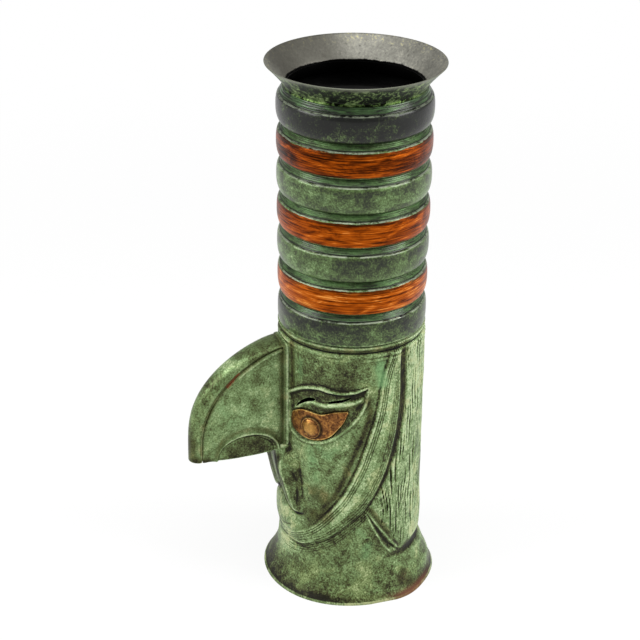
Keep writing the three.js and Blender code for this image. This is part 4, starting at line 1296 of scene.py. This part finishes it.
def head_patina():
    f = Finish("head_patina")
    hair, strand, rail_in, rail_out = (f.stored(name) for name in ("hair", "strand", "rail_in", "rail_out"))
    waver = f.cloud(9, 3, 0.3, (1, 1, 0.3), 4.0)
    broken = f.rise(f.cloud(5, 4, 0.5, (1, 1, 0.35), 5.0), 0.34, 0.6)
    strands = f.rise((strand + (waver - 0.5) * 3).comb(1.2), 0.3, 0.95) * broken * hair * 0.75
    strands = strands + f.rise(f.stored("cut"), 0.1, 0.9) * 0.6
    out_lines = (rail_out + (waver - 0.5) * 1.5).comb(1.35) * f.window(rail_out, -6.5, 6.4, 1.6)
    in_lines = (rail_in + (waver - 0.5) * 1.2).comb(1.3) * f.window(rail_in, 0.4, 5.5, 0.9)
    rails = f.rise(out_lines + in_lines, 0.3, 0.95) * (0.35 + broken * 0.65) * (1 - hair)
    cuts = strands * 0.9 + rails * 0.8
    on_band = f.window(rail_in, 0.3, 9, 1)
    lift = f.stored("pale") * 0.15 - cuts * 0.34 + hair * 0.28 + on_band * (0.22 - in_lines * 0.3) - 0.03
    colour, broad, mottle, fleck, grain = crust(f, PATINA, 0.0, lift)
    tan = f.rise(broad + (mottle - 0.5), 0.5, 0.72) * 0.4
    colour = f.blend(tan, colour, (0.82, 0.62, 0.42, 1), "MULTIPLY")
    colour = stained_and_shaded(f, colour, mottle, fleck)
    foot = 1 - f.rise(f.axis("Z") + (mottle - 0.5) * 0.006, 0.0, 0.004)
    colour = f.blend(foot * 0.6, colour, (0.35, 0.3, 0.22, 1), "MULTIPLY")
    rust = f.near(on_tube(117, 8), 7, flat=1.5) + (fleck - 0.5) * 1.6 + (mottle - 0.5)
    colour = f.blend(f.rise(rust, 0.5, 1.1) * 0.5, colour, tone(96, 60, 42))
    edge = (1 - f.rise(f.axis("Z"), 0.001, 0.005)) * f.near(on_tube(122, 2, 6), 16)
    colour = f.blend(edge * 0.6, colour, tone(132, 84, 60))
    colour = black_inside(f, colour)
    bump = grit(mottle, fleck, grain) - cuts * 0.9
    shade = f.stored("shade")
    return f.finish(colour, 0.26 + fleck * 0.3 + shade * 0.3, (1 - shade) * 0.4, bump, 0.4, 0.2)


def beak_patina():
    f = Finish("beak_patina")
    lift = f.stored("pale") * 0.15 + 0.02
    colour, broad, mottle, fleck, grain = crust(f, PATINA, 3.0, lift, gain=0.85)
    tan = f.rise(broad + (mottle - 0.5), 0.52, 0.75) * 0.3
    colour = f.blend(tan, colour, (0.82, 0.66, 0.46, 1), "MULTIPLY")
    colour = stained_and_shaded(f, colour, mottle, fleck)
    copper = f.rise(f.stored("copper") + (fleck - 0.5) * 1.4, 0.4, 0.9)
    colour = f.blend(copper * 0.8, colour, tone(120, 58, 30))
    return f.finish(colour, 0.24 + fleck * 0.3, 0.4, grit(mottle, fleck, grain), 0.34, 0.2)


# %% [markdown]
# ## Hoops, green and copper
# The shoulder of every hoop stayed green. On three hoops the bulge below the crease was rubbed
# bright, so their copper shows long level scratches and browner streaks near its ragged top.

# %% Hoop finishes
def hoop_crust(f, offset, depth):
    level = (f.axis("Z") * (1 / (hoop_pitch * mm)) - neck_foot / hoop_pitch) % 1.0
    streak = f.cloud(9, 5, 0.6, (1, 1, 8), offset + 2)
    on_shoulder = f.rise(level, 0.79, 0.82)
    # The window below darkens the upper bulge under the crease as painted shade.
    lift = depth - on_shoulder * 0.02 - f.window(level, 0.42, 0.79, 0.18) * 0.16
    gain = 0.75 - 1.6 * min(depth, 0)
    colour, _, mottle, fleck, grain = crust(f, HOOP_PATINA, offset, lift, (1, 1, 1.4), gain)
    lines = f.blend(f.rise(streak, 0.38, 0.64), tone(24, 34, 17), tone(80, 116, 66))
    colour = f.blend(on_shoulder * 0.65, colour, lines)
    shade = f.window(level, 0.775, 0.825, 0.015) + (1 - f.rise(level, 0.0, 0.035)) + f.rise(level, 0.965, 1.0)
    colour = f.blend(f.rise(shade + (mottle - 0.5) * 0.8, 0.2, 0.9) * 0.9, colour, tone(14, 17, 9))
    # Painted highlight: a broken whitish line along the top of the bulge, just under the crease.
    painted_crease_highlight = f.window(level, 0.735, 0.785, 0.015) * f.rise(streak + (fleck - 0.5) * 0.5, 0.36, 0.58)
    colour = f.blend(painted_crease_highlight * 0.85, colour, tone(158, 168, 146))
    return colour, mottle, grain, fleck, streak, level


def dark_hoop(name, offset, depth):
    f = Finish(name)
    colour, mottle, grain, fleck, streak, level = hoop_crust(f, offset, depth)
    smoke = f.cloud(15, 4, 1.2, (1, 1, 1.6), offset + 7) - depth * 0.3
    smoky = f.rise(smoke, 0.52, 0.68) * (1 - f.rise(level, 0.7, 0.8))
    colour = black_inside(f, f.blend(smoky * 0.7, colour, (0.3, 0.3, 0.28, 1), "MULTIPLY"))
    bump = grit(mottle, fleck, grain) + streak * 0.3
    return f.finish(colour, 0.28 + fleck * 0.3, 0.4, bump, 0.2, coat=0.35)


def copper_hoop(name, offset, depth):
    f = Finish(name)
    colour, mottle, grain, fleck, streak, level = hoop_crust(f, offset, 0.0)
    brush = f.cloud(22, 5, 0.7, (1, 1, 26), offset + 5)
    fine = f.cloud(9, 4, 0.5, (1, 1, 18), offset + 8)
    broad = f.cloud(18, 3, 1.2, (1, 1, 3), offset + 6)
    scratch = f.rise(f.cloud(34, 3, 0.4, (1, 1, 50), offset + 9), 0.55, 0.62)
    shine = (brush - 0.5) * 1.2 + (fine - 0.5) * 0.9 + (broad - 0.5) * 1.3 - scratch * 0.3 + 0.6 + depth
    copper = f.ramp(shine, [(0, (36, 14, 4)), (0.28, (90, 38, 8)), (0.52, (152, 68, 10)),
                            (0.78, (196, 98, 22)), (1, (244, 160, 74))])
    near_top = f.rise(level, 0.5, 0.77)
    copper = f.blend(f.rise(near_top + (streak - 0.5) * 1.6, 0.45, 1.0) * 0.8, copper, tone(58, 28, 12))
    bare = f.rise(0.745 - level + (streak - 0.5) * 0.1 + (mottle - 0.5) * 0.06, 0.0, 0.015)
    bare = bare * f.rise(level + (mottle - 0.5) * 0.05, 0.025, 0.05)
    colour = black_inside(f, f.blend(bare, colour, copper))
    rough = 0.26 + grain * 0.24
    bump = mottle * 0.4 + brush * 0.6 + fine * 0.4 + fleck * 0.2
    return f.finish(colour, rough, 0.4 + bare * 0.6, bump, 0.24)


# %% [markdown]
# ## Lip and eye
# The flare is grey inside, where fingers and water wore the patina, and black down the throat. The
# eye is old brass: golden where it stands proud, as rubbed brass and painted highlight, with a painted
# highlight on the pupil, and dark brown in the ring round the pupil, which is a painted shadow of the boss.

# %% Lip and eye finishes
def lip_grey():
    f = Finish("lip_grey")
    mottle, grain, fleck = f.cloud(9, 6, 0.8), f.cloud(1.4, 4, 0.3), f.cloud(2.6, 6, 1.2, offset=2)
    total = (mottle - 0.5) * 0.7 + (fleck - 0.5) * 0.6 + (grain - 0.5) * 0.9 + 0.56
    colour = f.ramp(total, [(0, (52, 50, 45)), (0.35, (108, 107, 99)), (0.6, (128, 127, 118)),
                            (1, (170, 168, 154))])
    height_in_lip = f.axis("Z") * (1 / mm) - neck_top
    bloom = f.rise(height_in_lip, 6.5, 11.5) * f.rise(grain * 0.6 + fleck * 0.4, 0.55, 0.62)
    colour = f.blend(bloom * 0.6, colour, tone(186, 180, 112))
    pits = f.rise(1 - (grain * 0.5 + fleck * 0.5), 0.6, 0.66)
    colour = f.blend(pits * 0.7, colour, tone(34, 34, 26))
    # A darker grey over the left part of the inner flare.
    darker_left = f.near(on_tube(-60, neck_top + 8, 6), 34) + (mottle - 0.5) * 0.8
    colour = f.blend(f.rise(darker_left, 0.3, 1.0) * 0.8, colour, tone(72, 70, 62))
    deep = 1 - f.rise(height_in_lip + (mottle - 0.5) * 1.6 + (grain - 0.5) * 0.6, 0.9, 1.3)
    colour = f.blend(deep, colour, BLACK)
    crusty = total + (fleck - 0.5) * 2.0 + (mottle - 0.5) * 1.4 - 0.04
    outside = f.ramp(crusty, [(0, (6, 8, 4)), (0.42, (20, 26, 13)), (0.6, (56, 74, 38)),
                              (1, (140, 160, 106))])
    moss = f.window(height_in_lip, -0.5, 2.6, 0.8) * f.rise(mottle + (fleck - 0.5), 0.4, 0.6)
    outside = f.blend(moss * 0.6, outside, tone(62, 84, 38))
    outside = f.blend(f.rise(height_in_lip + (mottle - 0.5) * 4, 9, 12.5), outside, tone(116, 120, 104))
    out = f.rise(f.stored("outward"), 0.0, 0.3)
    colour = f.blend(out, colour, outside)
    return f.finish(colour, 0.3 + fleck * 0.3, 0.5 + deep * 0.5, mottle * 0.5 + grain * 0.5, 0.14)


def eye_gold():
    f = Finish("eye_gold")
    mottle, fleck, grain = f.cloud(4, 6, 1.2), f.cloud(1.7, 4, 0.8, offset=2), f.cloud(0.8, 3, 0.3, offset=1)
    proud = f.stored("relief")
    total = (mottle - 0.5) * 1.5 + (fleck - 0.5) * 0.8 + (grain - 0.5) * 0.5 + 0.46
    # Proud edges are lightened, as rubbed brass and as painted highlight, and recesses darkened as painted
    # shade.
    total = total + f.rise(proud, 0.03, 0.3) * 0.45 - f.rise(proud * -1, 0.0, 0.14) * 0.4
    colour = f.ramp(total, [(0, (34, 20, 10)), (0.3, (92, 56, 26)), (0.52, (140, 92, 46)),
                            (0.75, (184, 132, 64)), (1, (234, 200, 120))])
    for side in (1, -1):
        middle = on_tube(side * pupil_at[0], pupil_at[1], plate_edge + 0.3)
        # Painted shadow: a dark brown ring round the boss. Painted highlight: a bright golden spot in the
        # middle of the pupil.
        ring = f.near(middle, 7.4, 0.1) * (1 - f.near(middle, 5.9, 0.03))
        colour = f.blend(ring * 0.85, colour, tone(32, 19, 9))
        colour = f.blend(f.near(middle, 3.6, 0.5) * 0.55, colour, tone(214, 166, 84))
    return f.finish(colour, 0.26 + fleck * 0.3, 0.8, mottle * 0.6 + fleck * 0.5 + grain * 0.3, 0.14, 0.5)


# %% [markdown]
# ## Dressing the solids
# Every new piece stands for one solid and rides on the vase. The
# flat base plate is plain on the real vase too, so the solid itself stays and gets the patina.

# %% Dressing
def dress(piece, material, node):
    """Gives a piece its finish and lets it stand for a solid."""
    piece.data.materials.clear()
    piece.data.materials.append(material)
    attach(piece, "root")
    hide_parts(node)


head_skin, beak_skin, gold = head_patina(), beak_patina(), eye_gold()
dress(head, head_skin, "head_shell")
dress(lip, lip_grey(), "lip_flare")
for piece, node in ((crest, "beak_crest"), (sole, "beak_sole"), (flange, "beak_flange")):
    dress(piece, beak_skin, node)
for name in ("right", "left"):
    dress(cheeks[name], beak_skin, f"beak_side_{name}")
    dress(leaves[name], gold, f"eye_plate_{name}")
    dress(pupils[name], gold, f"eye_pupil_{name}")
hoop_depth = {1: -0.46, 2: -0.2, 3: -0.02, 4: -0.08, 5: 0.04, 6: 0.06, 7: -0.08}
for number, hoop in hoops.items():
    bright = number % 2 == 0
    make, slot = (copper_hoop, "bare_copper") if bright else (dark_hoop, "dark_patina")
    dress(hoop, make(f"hoop_finish_{number}", 1.3 * number, hoop_depth[number]), f"neck_hoop_{number}")


def base_patina():
    f = Finish("base_patina")
    colour, _, mottle, fleck, grain = crust(f, HOOP_PATINA, 6.0)
    return f.finish(colour, 0.5 + fleck * 0.3, 0.35, mottle * 0.5 + fleck * 0.5 + grain * 0.4, 0.2)


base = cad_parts["base_plate"]
base.data.materials.clear()
base.data.materials.append(base_patina())

# %% [markdown]
# ## Floor, light and camera
# Seen by the camera and in reflections, the floor glows nearly white by the vase and fully white
# farther off. Its matt part keeps the shadow. Large lamps stand in for the tent of cloth in which
# small wares are photographed.

# %% The stage
def lit_ray(f):
    """1 for rays from the camera and in reflections."""
    rays = {name: f.add("ShaderNodeLightPath", output=name) for name in ("Is Camera Ray", "Is Glossy Ray")}
    return rays["Is Camera Ray"].math("MAXIMUM", rays["Is Camera Ray"], rays["Is Glossy Ray"])


def floor_white():
    f = Finish("floor_white")
    glow = f.add("ShaderNodeEmission", None, {"Color": (1, 1, 1, 1), "Strength": 1.0})
    matt = f.add("ShaderNodeBsdfDiffuse", None, {"Color": (0.93, 0.93, 0.93, 1)})
    far = f.rise(f.from_middle(), 0.25, 0.9)
    mixed = f.add("ShaderNodeMixShader", None, {0: lit_ray(f) * (0.86 + far * 0.14), 1: matt, 2: glow})
    f.tree.links.new(mixed.socket, f.tree.nodes["Material Output"].inputs["Surface"])
    return f.material


floor = begin(bpy.ops.mesh.primitive_plane_add, "floor", size=12)
bpy.ops.object.mode_set(mode="OBJECT")
floor.data.materials.append(floor_white())

world = bpy.data.worlds.new("studio")
bpy.context.scene.world = world
world.use_nodes = True
# A Finish without a material of its own: only its way of adding nodes is used, on the world's tree.
world_finish = Finish.__new__(Finish)
world_finish.tree = world.node_tree
sky_share = 0.36
seen = world_finish.add("ShaderNodeLightPath", output="Is Camera Ray")
strength = seen * (1 - sky_share) + sky_share
world.node_tree.links.new(strength.socket, world.node_tree.nodes["Background"].inputs["Strength"])
world.node_tree.nodes["Background"].inputs["Color"].default_value = (1, 1, 1, 1)


# %% Lamps
def softbox(name, azimuth, rise, distance, size, power):
    """A square lamp that faces the middle of the vase."""
    a, e = math.radians(azimuth), math.radians(rise)
    away = Vector((math.sin(a) * math.cos(e), -math.cos(a) * math.cos(e), math.sin(e)))
    middle = Vector((0, 0, rim_top / 2)) * mm
    bpy.ops.object.light_add(type="AREA", location=middle + away * distance)
    lamp = bpy.context.object
    lamp.name = lamp.data.name = name
    lamp.rotation_euler = away.to_track_quat("Z", "Y").to_euler()
    lamp.data.size, lamp.data.energy = size, power


view_azimuth = 70
softbox("lamp_left", view_azimuth - 72, 30, 1.1, 0.6, 8)
softbox("lamp_right", view_azimuth + 75, 30, 1.1, 0.6, 9)
softbox("lamp_top", view_azimuth - 10, 80, 1.0, 0.7, 5)

# %% [markdown]
# ## Camera
# The camera stands where the photograph was taken: about 0.9 m off, a little above the rim, with
# the face three quarters turned. Its place was found by fitting the hoops' edges.

# %% Camera
camera_distance, camera_height, focal_pixels = 0.8688, 0.5820, 1752.0
swing, dip, roll = -0.020, 0.4559, 0.0084
sensor_width, picture_width = 36, 640
a = math.radians(view_azimuth)
bpy.ops.object.camera_add()
camera = bpy.context.object
camera.name = "camera"
camera.data.sensor_width = sensor_width
camera.data.lens = sensor_width * focal_pixels / picture_width
camera.data.clip_start, camera.data.clip_end = 0.05, 30
stand = Vector((camera_distance * math.sin(a), -camera_distance * math.cos(a), camera_height))
camera.matrix_world = (Matrix.Translation(stand) @ Matrix.Rotation(a - swing, 4, "Z")
                       @ Matrix.Rotation(math.pi / 2 - dip, 4, "X") @ Matrix.Rotation(roll, 4, "Z"))
bpy.context.scene.camera = camera
bpy.context.scene.view_settings.view_transform = "Standard"
